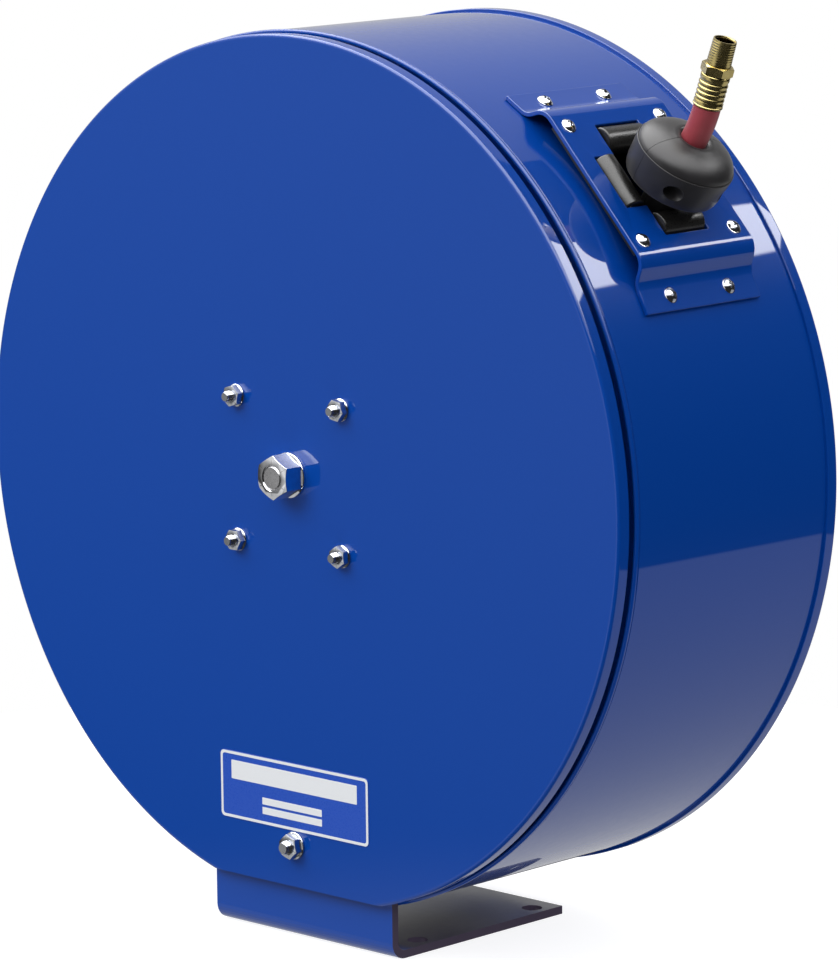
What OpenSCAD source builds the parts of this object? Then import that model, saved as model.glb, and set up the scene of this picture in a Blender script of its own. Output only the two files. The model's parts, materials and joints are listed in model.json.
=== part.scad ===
/* [Drum] */
// Outer diameter of the two cover rims
drum_d = 502; // [480:1:560]
// Depth from the front cover's face to the rear cover's face
drum_depth = 179.4; // [176:0.2:190]
// Thickness of the sheet that the covers and the shell are pressed from
sheet_t = 1.6; // [1.2:0.1:2]
// Width of the rim of the front cover
front_rim = 8.6; // [7:0.1:10]
// Width of the groove behind the front cover's rim
groove_w = 4; // [3:0.1:5]

/* [Base] */
// Width of the base plate, left to right
base_w = 142; // [140:1:160]
// Thickness of the base plate
base_t = 4.8; // [4:0.1:6]
// Length of the foot, front to back
foot_l = 142; // [130:1:160]
// Height of the axle above the underside of the foot
axle_height = 271; // [268:1:300]
// Distance between the foot's bolt holes, left to right
hole_dx = 122; // [100:1:126]
// Distance between the foot's bolt holes, front to back
hole_dy = 96; // [80:1:100]
// Diameter of the foot's bolt holes
foot_hole_d = 12; // [9:0.5:14]

/* [Fasteners on the face] */
// Distance between the four cover bolts, side to side and top to bottom
bolt_square = 83; // [76:1:90]
// Thread diameter of the cover bolts
bolt_d = 6.35; // [6:0.05:7]
// Thread diameter of the front end of the axle
axle_thread_d = 14.3; // [12:0.1:16]
// Height of the base bolt below the axle
base_bolt_drop = 214.2; // [213:0.1:216]

/* [Hose guide] */
// Direction of the hose guide, counted up from the right-hand side
guide_angle = 42.5; // [30:0.5:60]
// Distance of the guide's middle behind the front face
guide_y = 93.6; // [90:0.1:96]
// Width of the guide bracket, front to back
guide_w = 94; // [90:1:100]
// Diameter of the four guide rollers
roller_d = 16; // [14:0.5:16]
// Length of each guide roller
roller_l = 33; // [28:1:34]

/* [Hose and stop] */
// Outer diameter of the hose
hose_d = 15.2; // [14:0.1:15.2]
// Bore of the hose
hose_bore_d = 9.5; // [9:0.1:10]
// Diameter of the rubber hose stop
stop_d = 58; // [54:1:62]
// Height of the straight side of the hose stop
stop_h = 20; // [18:1:24]
// Lean of the hose stop from the guide's centre line
pull_tilt = 12.2; // [11:0.1:13]
// Bend of the free hose end above the stop
hose_bend = 16; // [8:1:18]

/* [Latch] */
// Number of positions in which the latch can hold the spool
latch_positions = 9; // [6:1:9]

/* [Hidden] */

$fn = 96;
cut = 1;                     // how far a cutting tool stands past the surface that it cuts
running = 0.05;              // radial clearance of a turning fit

// Drum, measured back from the face of the front cover
drum_r = drum_d / 2;
wall_r = drum_r - 1.7;       // outside of the shell's wall
cover_r = drum_r - 2.8;      // outside of the front cover
cover_flat = 238.5;          // the cover's straight bottom edge, below the axle
neck_r = cover_r - sheet_t - 0.2;    // outside of the shell at the groove
wall_back = drum_depth - sheet_t;
edge_r = 3;                  // rounded edge of each cover
rear_rim = 8;
lip = 15;                    // width of the shell's turned-in lips
bead_r = 1.5;

// Base
foot_front = 6;              // front of the lower leg, behind the front face
bend_r = 7.6;                // middle of the sheet, at the bend above the foot
foot_back = foot_front + foot_l;
holes_y = foot_back - 15.2 - hole_dy / 2;
leg_back = sheet_t + base_t; // back of the upper leg
joggle_low = -238;
joggle_high = -228;
leg_top = 68;

// Guide, with v along the radius and u along the rim
guide_t = 2.5;
plate_v = wall_r + 8.2;              // top of the guide's flat plate
plate_half = 52.6;
flange_l = 17.3;
flange_slope = 15.5;                 // each flange lies flat against the drum at this angle from the middle
flange_mid = (wall_r + guide_t + 0.05) * [cos(flange_slope), sin(flange_slope)];
flange_bend = flange_mid - flange_l / 2 * [-sin(flange_slope), cos(flange_slope)];
flange_end = flange_mid + flange_l / 2 * [-sin(flange_slope), cos(flange_slope)];
roller_r = roller_d / 2;
roller_v = plate_v + 3.5 - roller_r;
roller_u = 29.5;
roller_y = 25;
lobe_half = 17.4;                    // half width of each lobe of the window
lobe_u = roller_u + roller_r + 0.5;
lobe_y = roller_y + roller_r + 0.5;
pin_r = 2;
pin_l = 45;
carrier_t = 5;
carrier_u = 44;
carrier_y = 42;
opening_u = 40;
opening_y = 37;
top_screw_u = 39.5;
top_screw_y = 37.5;
flange_screw_y = 24;

// Hose end, measured from the underside of the stop along the pull direction
stop_v = plate_v + 8.2;
stop_u = -10.5;
stop_turn = -10;                     // direction of the stop's two screws
dome_h = 12;
hose_r = hose_d / 2;
hose_inside = 115;
bend_start = stop_h + dome_h - 2;
free_hose = 21;
hose_bend_r = free_hose / (hose_bend * PI / 180);
ferrule_l = 19;
hex_l = 5.5;
npt_l = 14.3;
npt_r = 6.85;

// Axle and spool
axle_r = 12.5;
shoulder_back = 13.8;
axle_back = 154;
lid_y = 26;
lid_t = 2;
disc_front_y = 30;
disc_rear_y = 149;
disc_r = 205;
hub_r = 85;
canister_r = 80;
canister_back = 84;
screw_circle = 89;
bearing_r = 18;
boss_r = 24;
ratchet_y = 18;
ratchet_t = 5;
ratchet_r = 62;
pawl_pivot_z = -78;
latch_angle = 360 / latch_positions;

// Hose on the spool
wraps = 7;
wrap_first = disc_front_y + sheet_t + hose_r + 1;
wrap_last = disc_rear_y - hose_r - 1;
wrap_pitch = (wrap_last - wrap_first) / (wraps - 1);
layer_step = sqrt(pow(hose_d + 1, 2) - pow(wrap_pitch / 2, 2));
first_layer_r = hub_r + hose_r + 0.4;

// Swivel
stem_r = 11;
rotor_y = 158;
stem_back = 190;
body_front = 183;
body_back = 210;
port_y = 196.5;
port_r = 9.13;
port_l = 34;
riser_r = 6.5;
riser_y = 168;

// ---------- placing ----------

// Moves a shape from the axle's frame, which starts at the front face, to the frame of the part
module reel() { translate([0, -holes_y, axle_height]) children(); }

// Turns a shape drawn along +Z so that it runs to the back from depth y
module to_rear(y) { translate([0, y, 0]) rotate([-90, 0, 0]) children(); }

// Turns a shape drawn along +Z so that it runs to the front from depth y
module to_front(y) { translate([0, y, 0]) rotate([90, 0, 0]) children(); }

// The guide's frame: X along its radius, Z along the rim, Y from its middle to the back
module guide() { reel() translate([0, guide_y, 0]) rotate([0, -guide_angle, 0]) children(); }

// Turns a shape drawn along +Z so that it stands out of the guide, at height v and place u, y
module outward(v, y, u, lean = 0) {
    translate([v, y, u]) rotate([0, -lean, 0]) rotate([0, 90, 0]) children();
}

// The hose end's frame: Z along the pull, from the underside of the stop
module pull() { guide() outward(stop_v, 0, stop_u, pull_tilt) children(); }

// The fitting's frame: Z along the fitting, from the end of the hose bend
module hose_tip() {
    pull() translate([-hose_bend_r, 0, bend_start]) rotate([0, -hose_bend, 0])
        translate([hose_bend_r, 0, 0]) children();
}

// A ring of copies about the axle
module around(count, radius, start = 0) {
    for (i = [0:count - 1]) rotate([0, start + i * 360 / count, 0]) translate([radius, 0, 0]) children();
}

// The four corners of a rectangle in the plane of the face
module face_corners(half) { for (x = [-half, half], z = [-half, half]) translate([x, 0, z]) children(); }

// ---------- bent sheet ----------

bend_steps = 8;
function unit(a) = a / norm(a);
function left(a) = [-a.y, a.x];

// Points round the bend at corner i of a sheet's middle line, moved aside by off
function bend_points(line, i, r, off) =
    let (d1 = unit(line[i] - line[i - 1]), d2 = unit(line[i + 1] - line[i]),
         turn = atan2(cross(d1, d2), d1 * d2), side = sign(turn),
         centre = line[i] - d1 * r * tan(abs(turn) / 2) + side * r * left(d1),
         heading = atan2(d1.y, d1.x))
    [for (k = [0:bend_steps]) let (h = heading + turn * k / bend_steps)
        centre + (off - side * r) * [-sin(h), cos(h)]];

function sheet_side(line, r, off) =
    let (n = len(line) - 1)
    concat([line[0] + off * left(unit(line[1] - line[0]))],
           [for (i = [1:n - 1]) each bend_points(line, i, r, off)],
           [line[n] + off * left(unit(line[n] - line[n - 1]))]);

function reversed(a) = [for (i = [len(a) - 1:-1:0]) a[i]];

// A sheet of thickness t bent along the middle line and w wide
module bent_sheet(line, t, r, w) {
    linear_extrude(w, center = true)
        polygon(concat(sheet_side(line, r, t / 2), reversed(sheet_side(line, r, -t / 2))));
}

// ---------- fasteners ----------

// A hexagonal head below Z = 0 with its shank above
module hex_bolt(shank_r, flats, head_h, length) {
    translate([0, 0, -head_h]) cylinder(r = flats / sqrt(3), h = head_h, $fn = 6);
    cylinder(r = shank_r, h = length);
}

// A flanged hexagonal nut that stands on Z = 0
module flange_nut(bore_r, flats, height, flange_r, flange_h, turn = 0) {
    difference() {
        union() {
            cylinder(r = flange_r, h = flange_h);
            rotate(turn) cylinder(r = flats / sqrt(3), h = height, $fn = 6);
        }
        translate([0, 0, -cut]) cylinder(r = bore_r, h = height + 2 * cut);
    }
}

// A pan head above Z = 0 with its shank below
module pan_screw(head_r, head_h, shank_r, length) {
    dome_r = (head_r * head_r + head_h * head_h) / (2 * head_h);
    intersection() {
        cylinder(r = head_r, h = head_h + cut);
        translate([0, 0, head_h - dome_r]) sphere(r = dome_r);
    }
    translate([0, 0, -length]) cylinder(r = shank_r, h = length);
}

// ---------- drum ----------

// Section of a shallow pan: its face on the X axis, its rim upwards
module pan_section(r, rim) {
    difference() {
        union() {
            square([r - edge_r, rim]);
            translate([0, edge_r]) square([r, rim - edge_r]);
            translate([r - edge_r, edge_r]) circle(r = edge_r);
        }
        union() {
            translate([-cut, sheet_t]) square([r - edge_r + cut, rim]);
            translate([-cut, edge_r]) square([r - sheet_t + cut, rim]);
            translate([r - edge_r, edge_r]) circle(r = edge_r - sheet_t);
        }
    }
}

// The room that the base plate's leg takes through the rim
module leg_passage(front) {
    translate([-base_w / 2 - 0.5, front, -drum_r - cut]) cube([base_w + 1, 11.3 - front, 50]);
}

module front_cover() {
    color("royalblue") reel() difference() {
        to_rear(0) rotate_extrude($fn = 360) intersection() {
            pan_section(cover_r, front_rim);
            square([drum_r + cut, front_rim]);
        }
        translate([-drum_r, -cut, -drum_r - cut]) cube([2 * drum_r, 11.3 + cut, drum_r + cut - cover_flat]);
        to_rear(-cut) cylinder(r = axle_thread_d / 2 + 0.4, h = 2 * cut + sheet_t);
        face_corners(bolt_square / 2) to_rear(-cut) cylinder(r = bolt_d / 2 + 0.2, h = 2 * cut + sheet_t);
        translate([0, 0, -base_bolt_drop]) to_rear(-cut) cylinder(r = 4.2, h = 2 * cut + sheet_t);
        leg_passage(4.8);
    }
}

module shell_section() {
    bead_y = front_rim + groove_w + bead_r;
    difference() {
        union() {
            translate([neck_r - lip, sheet_t]) square([lip, bead_y - sheet_t]);
            translate([wall_r - lip, bead_y]) square([lip, wall_back - bead_y]);
            translate([wall_r - 0.7, bead_y]) circle(r = bead_r);
        }
        translate([wall_r, wall_back]) rotate(45) square(2.2, center = true);
        translate([neck_r, sheet_t]) rotate(45) square(2.2, center = true);
        translate([0, 2 * sheet_t]) square([neck_r - sheet_t, bead_y]);
        translate([0, bead_y + sheet_t]) square([wall_r - sheet_t, wall_back - 2 * sheet_t - bead_y]);
    }
}

module drum_shell() {
    color("royalblue") reel() difference() {
        to_rear(0) rotate_extrude($fn = 360) shell_section();
        leg_passage(0);
        translate([0, guide_y, 0]) rotate([0, -guide_angle, 0]) {
            translate([wall_r - 15, -opening_y, -opening_u]) cube([30, 2 * opening_y, 2 * opening_u]);
            flange_screw_places() translate([0, 0, -12]) cylinder(r = 2.5, h = 14);
        }
        around(8, wall_r - 8, 22.5) to_rear(wall_back - 5) cylinder(r = 2, h = 10);
    }
}

module rear_cover() {
    color("royalblue") reel() difference() {
        to_front(drum_depth) rotate_extrude($fn = 360) pan_section(wall_r + sheet_t, rear_rim);
        to_front(drum_depth + cut) cylinder(r = stem_r + 3, h = 2 * cut + sheet_t);
        around(8, wall_r - 8, 22.5) to_front(drum_depth + cut) cylinder(r = 2.2, h = 2 * cut + sheet_t);
    }
}

module rear_cover_screws() {
    color("silver") reel() around(8, wall_r - 8, 22.5) to_rear(drum_depth) pan_screw(4.2, 2.6, 2, 8);
}

// ---------- base ----------

module mounting_base() {
    low = -axle_height + base_t / 2;
    lower_leg = foot_front + base_t / 2;
    upper_leg = sheet_t + base_t / 2;
    line = [[foot_back, low], [lower_leg, low], [lower_leg, joggle_low], [upper_leg, joggle_high],
            [upper_leg, leg_top]];
    color("royalblue") reel() difference() {
        rotate([90, 0, 90]) bent_sheet(line, base_t, bend_r, base_w);
        for (x = [-1, 1], y = [-1, 1]) translate([x * hole_dx / 2, holes_y + y * hole_dy / 2, -axle_height - cut])
            cylinder(r = foot_hole_d / 2, h = base_t + 2 * cut);
        to_rear(0) cylinder(r = axle_thread_d / 2 + 0.1, h = 12);
        face_corners(bolt_square / 2) to_rear(0) cylinder(r = bolt_d / 2 + 0.1, h = 12);
        translate([0, 0, -base_bolt_drop]) to_rear(0) cylinder(r = 4.1, h = 12);
        translate([0, 0, pawl_pivot_z]) to_rear(0) cylinder(r = 4, h = 12);
    }
}

module name_plate() {
    size = [119, 39.6];
    corner = 3;
    color("mediumblue") reel() translate([0, 0, -186]) to_front(0) linear_extrude(0.5) union() {
        square([size.x - 2 * corner, size.y], center = true);
        square([size.x, size.y - 2 * corner], center = true);
        for (x = [-1, 1], y = [-1, 1])
            translate([x * (size.x / 2 - corner), y * (size.y / 2 - corner)]) circle(r = corner);
    }
}

// ---------- axle and the fasteners on the face ----------

module axle() {
    color("gray") reel() to_rear(0) rotate_extrude() polygon([
        [0, -13.9], [axle_thread_d / 2 - 1, -13.9], [axle_thread_d / 2, -12.9],
        [axle_thread_d / 2, leg_back], [19, leg_back], [19, 10.4], [16, 10.4], [16, shoulder_back],
        [axle_r, shoulder_back], [axle_r, 149.2], [axle_r - 1, 149.2], [axle_r - 1, 150.4],
        [axle_r, 150.4], [axle_r, axle_back - 1], [axle_r - 1, axle_back], [0, axle_back]]);
}

module axle_nut() {
    color("silver") reel() to_front(0) flange_nut(axle_thread_d / 2 + running, 22.2, 13.9, 13.3, 3.3, 30);
}

module cover_bolts() {
    color("silver") reel() face_corners(bolt_square / 2) to_front(leg_back)
        hex_bolt(bolt_d / 2, 11.1, 4, leg_back + 8.4);
}

module cover_nuts() {
    color("silver") reel() face_corners(bolt_square / 2) to_front(0)
        flange_nut(bolt_d / 2 + running, 11.1, 6.2, 6.9, 1.4);
}

module base_bolt() {
    color("silver") reel() translate([0, 0, -base_bolt_drop]) to_front(leg_back)
        hex_bolt(3.97, 12.7, 5, leg_back + 10);
}

module base_nut() {
    color("silver") reel() translate([0, 0, -base_bolt_drop]) to_front(0)
        flange_nut(3.97 + running, 12.7, 7.4, 8.2, 1.6, 15);
}

// ---------- hose guide ----------

// Where the screws stand on the two flanges, square to the flange
module flange_screw_places() {
    for (side = [-1, 1], y = [-flange_screw_y, flange_screw_y])
        outward(flange_mid.x, y, side * flange_mid.y, side * flange_slope) children();
}

module window(depth) {
    for (half = [[lobe_y, lobe_half], [lobe_half, lobe_u]])
        translate([plate_v - depth, -half.x, -half.y]) cube([depth + cut, 2 * half.x, 2 * half.y]);
}

module top_screw_places() {
    for (y = [-top_screw_y, top_screw_y], u = [-top_screw_u, top_screw_u]) outward(plate_v, y, u) children();
}

module guide_bracket() {
    mid = guide_t / 2;
    inwards = -mid * [cos(flange_slope), sin(flange_slope)];
    half = [[plate_v - mid, plate_half], flange_bend + inwards, flange_end + inwards];
    line = concat([for (p = reversed(half)) [p.x, -p.y]], half);
    color("royalblue") guide() difference() {
        rotate([90, 0, 0]) bent_sheet(line, guide_t, 4, guide_w);
        window(guide_t + cut);
        flange_screw_places() translate([0, 0, -6]) cylinder(r = 2.6, h = 12);
        top_screw_places() translate([0, 0, -6]) cylinder(r = 2.2, h = 8);
    }
}

module roller_carrier() {
    top = plate_v - guide_t;
    color("dimgray") guide() difference() {
        translate([top - carrier_t, -carrier_y, -carrier_u]) cube([carrier_t, 2 * carrier_y, 2 * carrier_u]);
        window(guide_t + carrier_t + cut);
        roller_places() cylinder(r = pin_r, h = pin_l, center = true);
        top_screw_places() translate([0, 0, -12]) cylinder(r = 2, h = 14);
    }
}

// One roller's axis, along Y for the upper and lower rollers and along the rim for the other two
module roller_place(name) {
    if (name == "upper") translate([roller_v, 0, roller_u]) rotate([90, 0, 0]) children();
    if (name == "lower") translate([roller_v, 0, -roller_u]) rotate([90, 0, 0]) children();
    if (name == "front") translate([roller_v, -roller_y, 0]) children();
    if (name == "rear") translate([roller_v, roller_y, 0]) children();
}

module roller_places() { for (name = ["upper", "lower", "front", "rear"]) roller_place(name) children(); }

module roller(name) {
    color("black") guide() roller_place(name) rotate_extrude() polygon([
        [pin_r + running, -roller_l / 2], [roller_r - 0.8, -roller_l / 2], [roller_r, -roller_l / 2 + 0.8],
        [roller_r, roller_l / 2 - 0.8], [roller_r - 0.8, roller_l / 2], [pin_r + running, roller_l / 2]]);
}

module roller_pins() { color("silver") guide() roller_places() cylinder(r = pin_r, h = pin_l, center = true); }

module bracket_screws() {
    color("silver") guide() flange_screw_places() translate([0, 0, 0.02]) pan_screw(4.6, 2.8, 2.4, 8);
}

module carrier_screws() {
    color("silver") guide() top_screw_places() pan_screw(4.6, 2.8, 2, 7);
}

// ---------- hose end ----------

// Section of the stop: a slightly tapered side, a fine rim line, a domed top and a dimple
module stop_section() {
    r = stop_d / 2;
    dome = [for (a = [0:10:70]) [r - 0.6 - (r - 0.6) * (1 - cos(a)), stop_h + dome_h * sin(a)]];
    polygon(concat([[hose_r, 0], [r - 4, 0], [r - 1.6, 1], [r - 0.9, 3.4], [r, stop_h - 1.4], [r, stop_h]],
                   dome, [[hose_r, bend_start - 0.1]]));
}

module stop_half(side) {
    difference() {
        intersection() {
            rotate_extrude($fn = 128) stop_section();
            rotate(stop_turn) translate([side > 0 ? 0.3 : -stop_d, -stop_d, -cut])
                cube([stop_d - 0.3, 2 * stop_d, stop_h + dome_h + 2 * cut]);
        }
        stop_screw_places() {
            translate([0, 0, -stop_d]) cylinder(r = 2.1, h = 2 * stop_d);
            cylinder(r = 4.5, h = stop_d);
        }
    }
}

// The stop's two clamp screws: Z along each screw, from the seat of its head
module stop_screw_places() {
    for (y = [-17.5, 17.5]) rotate(stop_turn) translate([13, y, stop_h / 2]) rotate([0, 90, 0]) children();
}

module hose_stop_outer_half() { color("dimgray") pull() stop_half(1); }

module hose_stop_inner_half() { color("dimgray") pull() stop_half(-1); }

module hose_stop_screws() {
    color("silver") pull() stop_screw_places() {
        cylinder(r = 3.9, h = 3);
        translate([0, 0, -24]) cylinder(r = 2.1, h = 24);
    }
}

module hose_ring(squeeze = 0) {
    difference() {
        circle(r = hose_r - squeeze);
        circle(r = hose_bore_d / 2 + squeeze / 3);
    }
}

// The hose end: straight through the stop, bent above it and squeezed a little inside the ferrule
module hose_end() {
    color("firebrick") {
        pull() translate([0, 0, -hose_inside]) linear_extrude(hose_inside + bend_start) hose_ring();
        pull() translate([-hose_bend_r, 0, bend_start]) rotate([90, 0, 0])
            rotate_extrude(angle = hose_bend) translate([hose_bend_r, 0]) hose_ring();
        hose_tip() translate([0, 0, -1]) linear_extrude(ferrule_l - 1) hose_ring(0.6);
    }
}

// The crimped ferrule: five rolled rings between two plain ends
module hose_ferrule() {
    ring_pitch = 3.1;
    color("goldenrod") hose_tip() rotate_extrude() difference() {
        union() {
            translate([0, 0.3]) square([hose_r + 0.35, ferrule_l - 0.3]);
            for (i = [0:4]) translate([hose_r - 0.8, 2.2 + i * ring_pitch]) circle(r = 1.5);
            translate([0, ferrule_l - 3]) square([hose_r + 0.5, 3]);
        }
        translate([-cut, -cut]) square([hose_r - 0.3 + cut, ferrule_l + cut - 1.8]);
        translate([-cut, -cut]) square([5.6 + cut, ferrule_l + 2 * cut]);
    }
}

module hose_fitting() {
    barb_r = hose_bore_d / 2 - 0.1;
    color("goldenrod") hose_tip() difference() {
        union() {
            translate([0, 0, 2]) cylinder(r = barb_r, h = ferrule_l);
            translate([0, 0, ferrule_l]) cylinder(r = 15.9 / sqrt(3), h = hex_l, $fn = 6);
            translate([0, 0, ferrule_l + hex_l]) cylinder(r = npt_r, h = npt_l);
        }
        cylinder(r = 3.5, h = 100);
        translate([0, 0, ferrule_l + hex_l + 4]) cylinder(r = 5.3, h = npt_l);
    }
}

// ---------- spool ----------

module spool_disc(y, hole_r) {
    difference() {
        to_rear(y) rotate_extrude($fn = 240) {
            translate([hole_r, 0]) square([disc_r - hole_r, sheet_t]);
            translate([disc_r, sheet_t / 2]) circle(r = 2);
        }
        children();
    }
}

module spool_front_disc() {
    color("steelblue") reel() spool_disc(disc_front_y, canister_r)
        around(6, screw_circle) to_rear(0) cylinder(r = 2.2, h = 200);
}

module spool_rear_disc() {
    color("steelblue") reel() spool_disc(disc_rear_y, boss_r) {
        around(6, 50) to_rear(0) cylinder(r = 2.2, h = 200);
        translate([first_layer_r, 0, 0]) to_rear(100) cylinder(r = riser_r + 0.3, h = 100);
    }
}

module spool_hub() {
    color("steelblue") reel() to_rear(disc_front_y + sheet_t) rotate_extrude()
        translate([hub_r - 1.5, 0]) square([1.5, disc_rear_y - disc_front_y - sheet_t]);
}

module spring_canister() {
    depth = canister_back - lid_y - lid_t;
    color("slategray") reel() difference() {
        to_rear(lid_y + lid_t) rotate_extrude() {
            translate([canister_r - 2, 0]) square([95 - canister_r + 2, 2]);
            translate([canister_r - 2, 0]) square([2, depth]);
            translate([axle_r + 1.5, depth - 2]) square([canister_r - axle_r - 1.5, 2]);
        }
        around(6, screw_circle) to_rear(0) cylinder(r = 2.2, h = 200);
    }
}

module spring_lid() {
    color("slategray") reel() difference() {
        to_rear(0) rotate_extrude() {
            translate([bearing_r, lid_y]) square([95 - bearing_r, lid_t]);
            translate([bearing_r, 14.2]) square([boss_r - bearing_r, lid_y - 14.2]);
            translate([bearing_r, ratchet_y + ratchet_t]) square([10, lid_y - ratchet_y - ratchet_t]);
        }
        around(6, screw_circle) to_rear(0) cylinder(r = 2.2, h = 200);
    }
}

// The spring's strip at turn t: it grows evenly from the arbor to the canister's wall
module power_spring() {
    turns = 8;
    steps = 24;
    inner = 21.5;
    outer = canister_r - 4.5;
    strip = 1.2;
    function spiral(off) = [for (k = [0:turns * steps])
        let (a = k * 360 / steps, r = inner + (outer - inner) * k / (turns * steps) + off)
        r * [cos(a), sin(a)]];
    color("gray") reel() to_rear(32) linear_extrude(46)
        polygon(concat(spiral(-strip / 2), reversed(spiral(strip / 2))));
}

module spring_arbor() {
    color("darkgray") reel() to_rear(31) rotate_extrude() translate([axle_r, 0]) square([7, 49]);
}

module bearing(y, l) {
    color("peru") reel() to_rear(y) rotate_extrude()
        translate([axle_r + running, 0]) square([bearing_r - axle_r - running, l]);
}

module bearing_flange() {
    plate_y = disc_rear_y + sheet_t;
    color("slategray") reel() difference() {
        to_rear(0) rotate_extrude() {
            translate([bearing_r, 136]) square([boss_r - bearing_r, plate_y - 136]);
            translate([bearing_r, plate_y]) square([60 - bearing_r, 3]);
            translate([26, plate_y + 3]) square([6, rotor_y - plate_y - 3]);
        }
        around(6, 50) to_rear(0) cylinder(r = 2.2, h = 200);
    }
}

module axle_ring() {
    color("silver") reel() to_rear(149.3) rotate_extrude()
        translate([axle_r - 1, 0]) square([4, 1]);
}

module canister_screws() {
    color("silver") reel() around(6, screw_circle) to_front(lid_y) pan_screw(4, 2.4, 2.2, 6);
}

module flange_screws() {
    color("silver") reel() around(6, 50) to_rear(disc_rear_y + sheet_t + 3) pan_screw(4, 2.4, 2.2, 7);
}

// Every wrap of the hose, as rings: seven and six to a layer, and two on the outside
module hose_coil() {
    color("firebrick") reel() for (layer = [0:3]) {
        odd = layer % 2;
        count = layer == 3 ? 2 : wraps - odd;
        for (i = [0:count - 1])
            to_rear(wrap_first + (i + odd / 2) * wrap_pitch) rotate_extrude()
                translate([first_layer_r + layer * layer_step, 0]) circle(r = hose_r, $fn = 48);
    }
}

// ---------- latch ----------

// The wheel's notches; the first one faces the pawl's tooth
notch_start = 300;
module ratchet_wheel() {
    color("darkgray") reel() difference() {
        to_rear(ratchet_y) rotate_extrude() translate([boss_r, 0]) square([ratchet_r - boss_r, ratchet_t]);
        for (i = [0:latch_positions - 1]) rotate([0, -notch_start - i * latch_angle, 0])
            translate([ratchet_r - 9, ratchet_y - cut, -7]) cube([12, ratchet_t + 2 * cut, 14]);
    }
}

// The pawl: a bar from its pivot to a tooth that points at the axle, swung clear of the wheel
pawl_clear = 14;
module pawl() {
    pivot = [0, pawl_pivot_z];
    heel = (ratchet_r + 5) * [cos(notch_start), sin(notch_start)] - pivot;
    color("darkgray") reel() to_front(ratchet_y + ratchet_t) linear_extrude(ratchet_t)
        translate(pivot) rotate(-pawl_clear) difference() {
            union() {
                circle(r = 9);
                rotate(atan2(heel.y, heel.x)) translate([0, -4]) square([norm(heel), 8]);
                translate(-pivot) rotate(notch_start) translate([ratchet_r - 7, -3.5]) square([16, 7]);
            }
            circle(r = 4 + running);
        }
}

module pawl_pivot() {
    color("silver") reel() translate([0, 0, pawl_pivot_z]) to_rear(0) {
        translate([0, 0, sheet_t + 0.2]) cylinder(r = 4, h = 24);
        translate([0, 0, leg_back]) cylinder(r = 6, h = 2);
        translate([0, 0, ratchet_y + ratchet_t + 0.4]) cylinder(r = 6, h = 1.5);
    }
}

module pawl_spring() {
    color("silver") reel() translate([0, 0, pawl_pivot_z]) for (i = [0:3])
        to_rear(9.6 + i * 2) rotate_extrude() translate([6, 0]) circle(r = 0.8, $fn = 24);
}

// ---------- rear swivel ----------

module swivel_rotor() {
    color("goldenrod") reel() difference() {
        to_rear(rotor_y) rotate_extrude() polygon([
            [0, 0], [32, 0], [32, 3], [stem_r, 3], [stem_r, 23], [9.8, 23], [9.8, 24.4], [stem_r, 24.4],
            [stem_r, 27], [9.2, 27], [9.2, 29.4], [stem_r, 29.4], [stem_r, stem_back - rotor_y],
            [0, stem_back - rotor_y]]);
        to_rear(riser_y - 5) cylinder(r = 5.5, h = 60);
        translate([0, riser_y, 0]) rotate([0, 90, 0]) cylinder(r = 4.8, h = 20);
    }
}

// The tube that leads out of the rotor, along the disc and through it to the hose
module riser_tube() {
    elbow = 15;
    module tube_ring() { difference() { circle(r = riser_r); circle(r = 4.8); } }
    color("silver") reel() {
        difference() {
            translate([9, riser_y, 0]) rotate([0, 90, 0])
                linear_extrude(first_layer_r - elbow - 9) tube_ring();
            to_rear(riser_y - 20) cylinder(r = stem_r, h = 40);
        }
        translate([first_layer_r - elbow, riser_y - elbow, 0]) rotate_extrude(angle = 90)
            translate([elbow, 0]) tube_ring();
        translate([first_layer_r, riser_y - elbow, 0]) rotate([90, 0, 0])
            linear_extrude(riser_y - elbow - disc_rear_y) tube_ring();
    }
}

module swivel_seal() {
    color("black") reel() to_rear(rotor_y + 28.2) rotate_extrude()
        translate([10.1, 0]) circle(r = 0.85, $fn = 24);
}

module swivel_ring() {
    color("silver") reel() to_rear(rotor_y + 23.1) rotate_extrude()
        translate([9.8, 0]) square([4, 1.2]);
}

module swivel_body() {
    color("goldenrod") reel() difference() {
        union() {
            to_rear(body_front) rotate_extrude() polygon([
                [0, 0], [16, 0], [17, 1], [17, body_back - body_front - 1], [16, body_back - body_front],
                [0, body_back - body_front]]);
            translate([0, port_y, -port_l]) cylinder(r = 13.5, h = port_l);
        }
        to_rear(body_front - cut) cylinder(r = stem_r + running, h = 20 + cut);
        translate([0, port_y, -port_l - cut]) cylinder(r = port_r, h = 16 + cut);
        translate([0, port_y, -port_l]) cylinder(r = 6, h = port_l);
    }
}

front_cover();
drum_shell();
rear_cover();
rear_cover_screws();
mounting_base();
name_plate();
axle();
axle_nut();
cover_bolts();
cover_nuts();
base_bolt();
base_nut();
guide_bracket();
roller_carrier();
roller("upper");  // roller_upper
roller("lower");  // roller_lower
roller("front");  // roller_front
roller("rear");  // roller_rear
roller_pins();
bracket_screws();
carrier_screws();
hose_stop_outer_half();
hose_stop_inner_half();
hose_stop_screws();
hose_end();
hose_ferrule();
hose_fitting();
spool_front_disc();
spool_rear_disc();
spool_hub();
spring_canister();
spring_lid();
power_spring();
spring_arbor();
bearing(14.2, 13.8);  // front_bearing
bearing(136, 12);  // rear_bearing
bearing_flange();
axle_ring();
ratchet_wheel();
pawl();
pawl_pivot();
pawl_spring();
canister_screws();
flange_screws();
hose_coil();
riser_tube();
swivel_rotor();
swivel_seal();
swivel_ring();
swivel_body();
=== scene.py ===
"""An enclosed spring rewind hose reel: blue drum, zinc fasteners, roller hose guide and red hose."""
import json
import math

import bmesh
import bpy
from mathutils import Matrix, Vector

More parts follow.
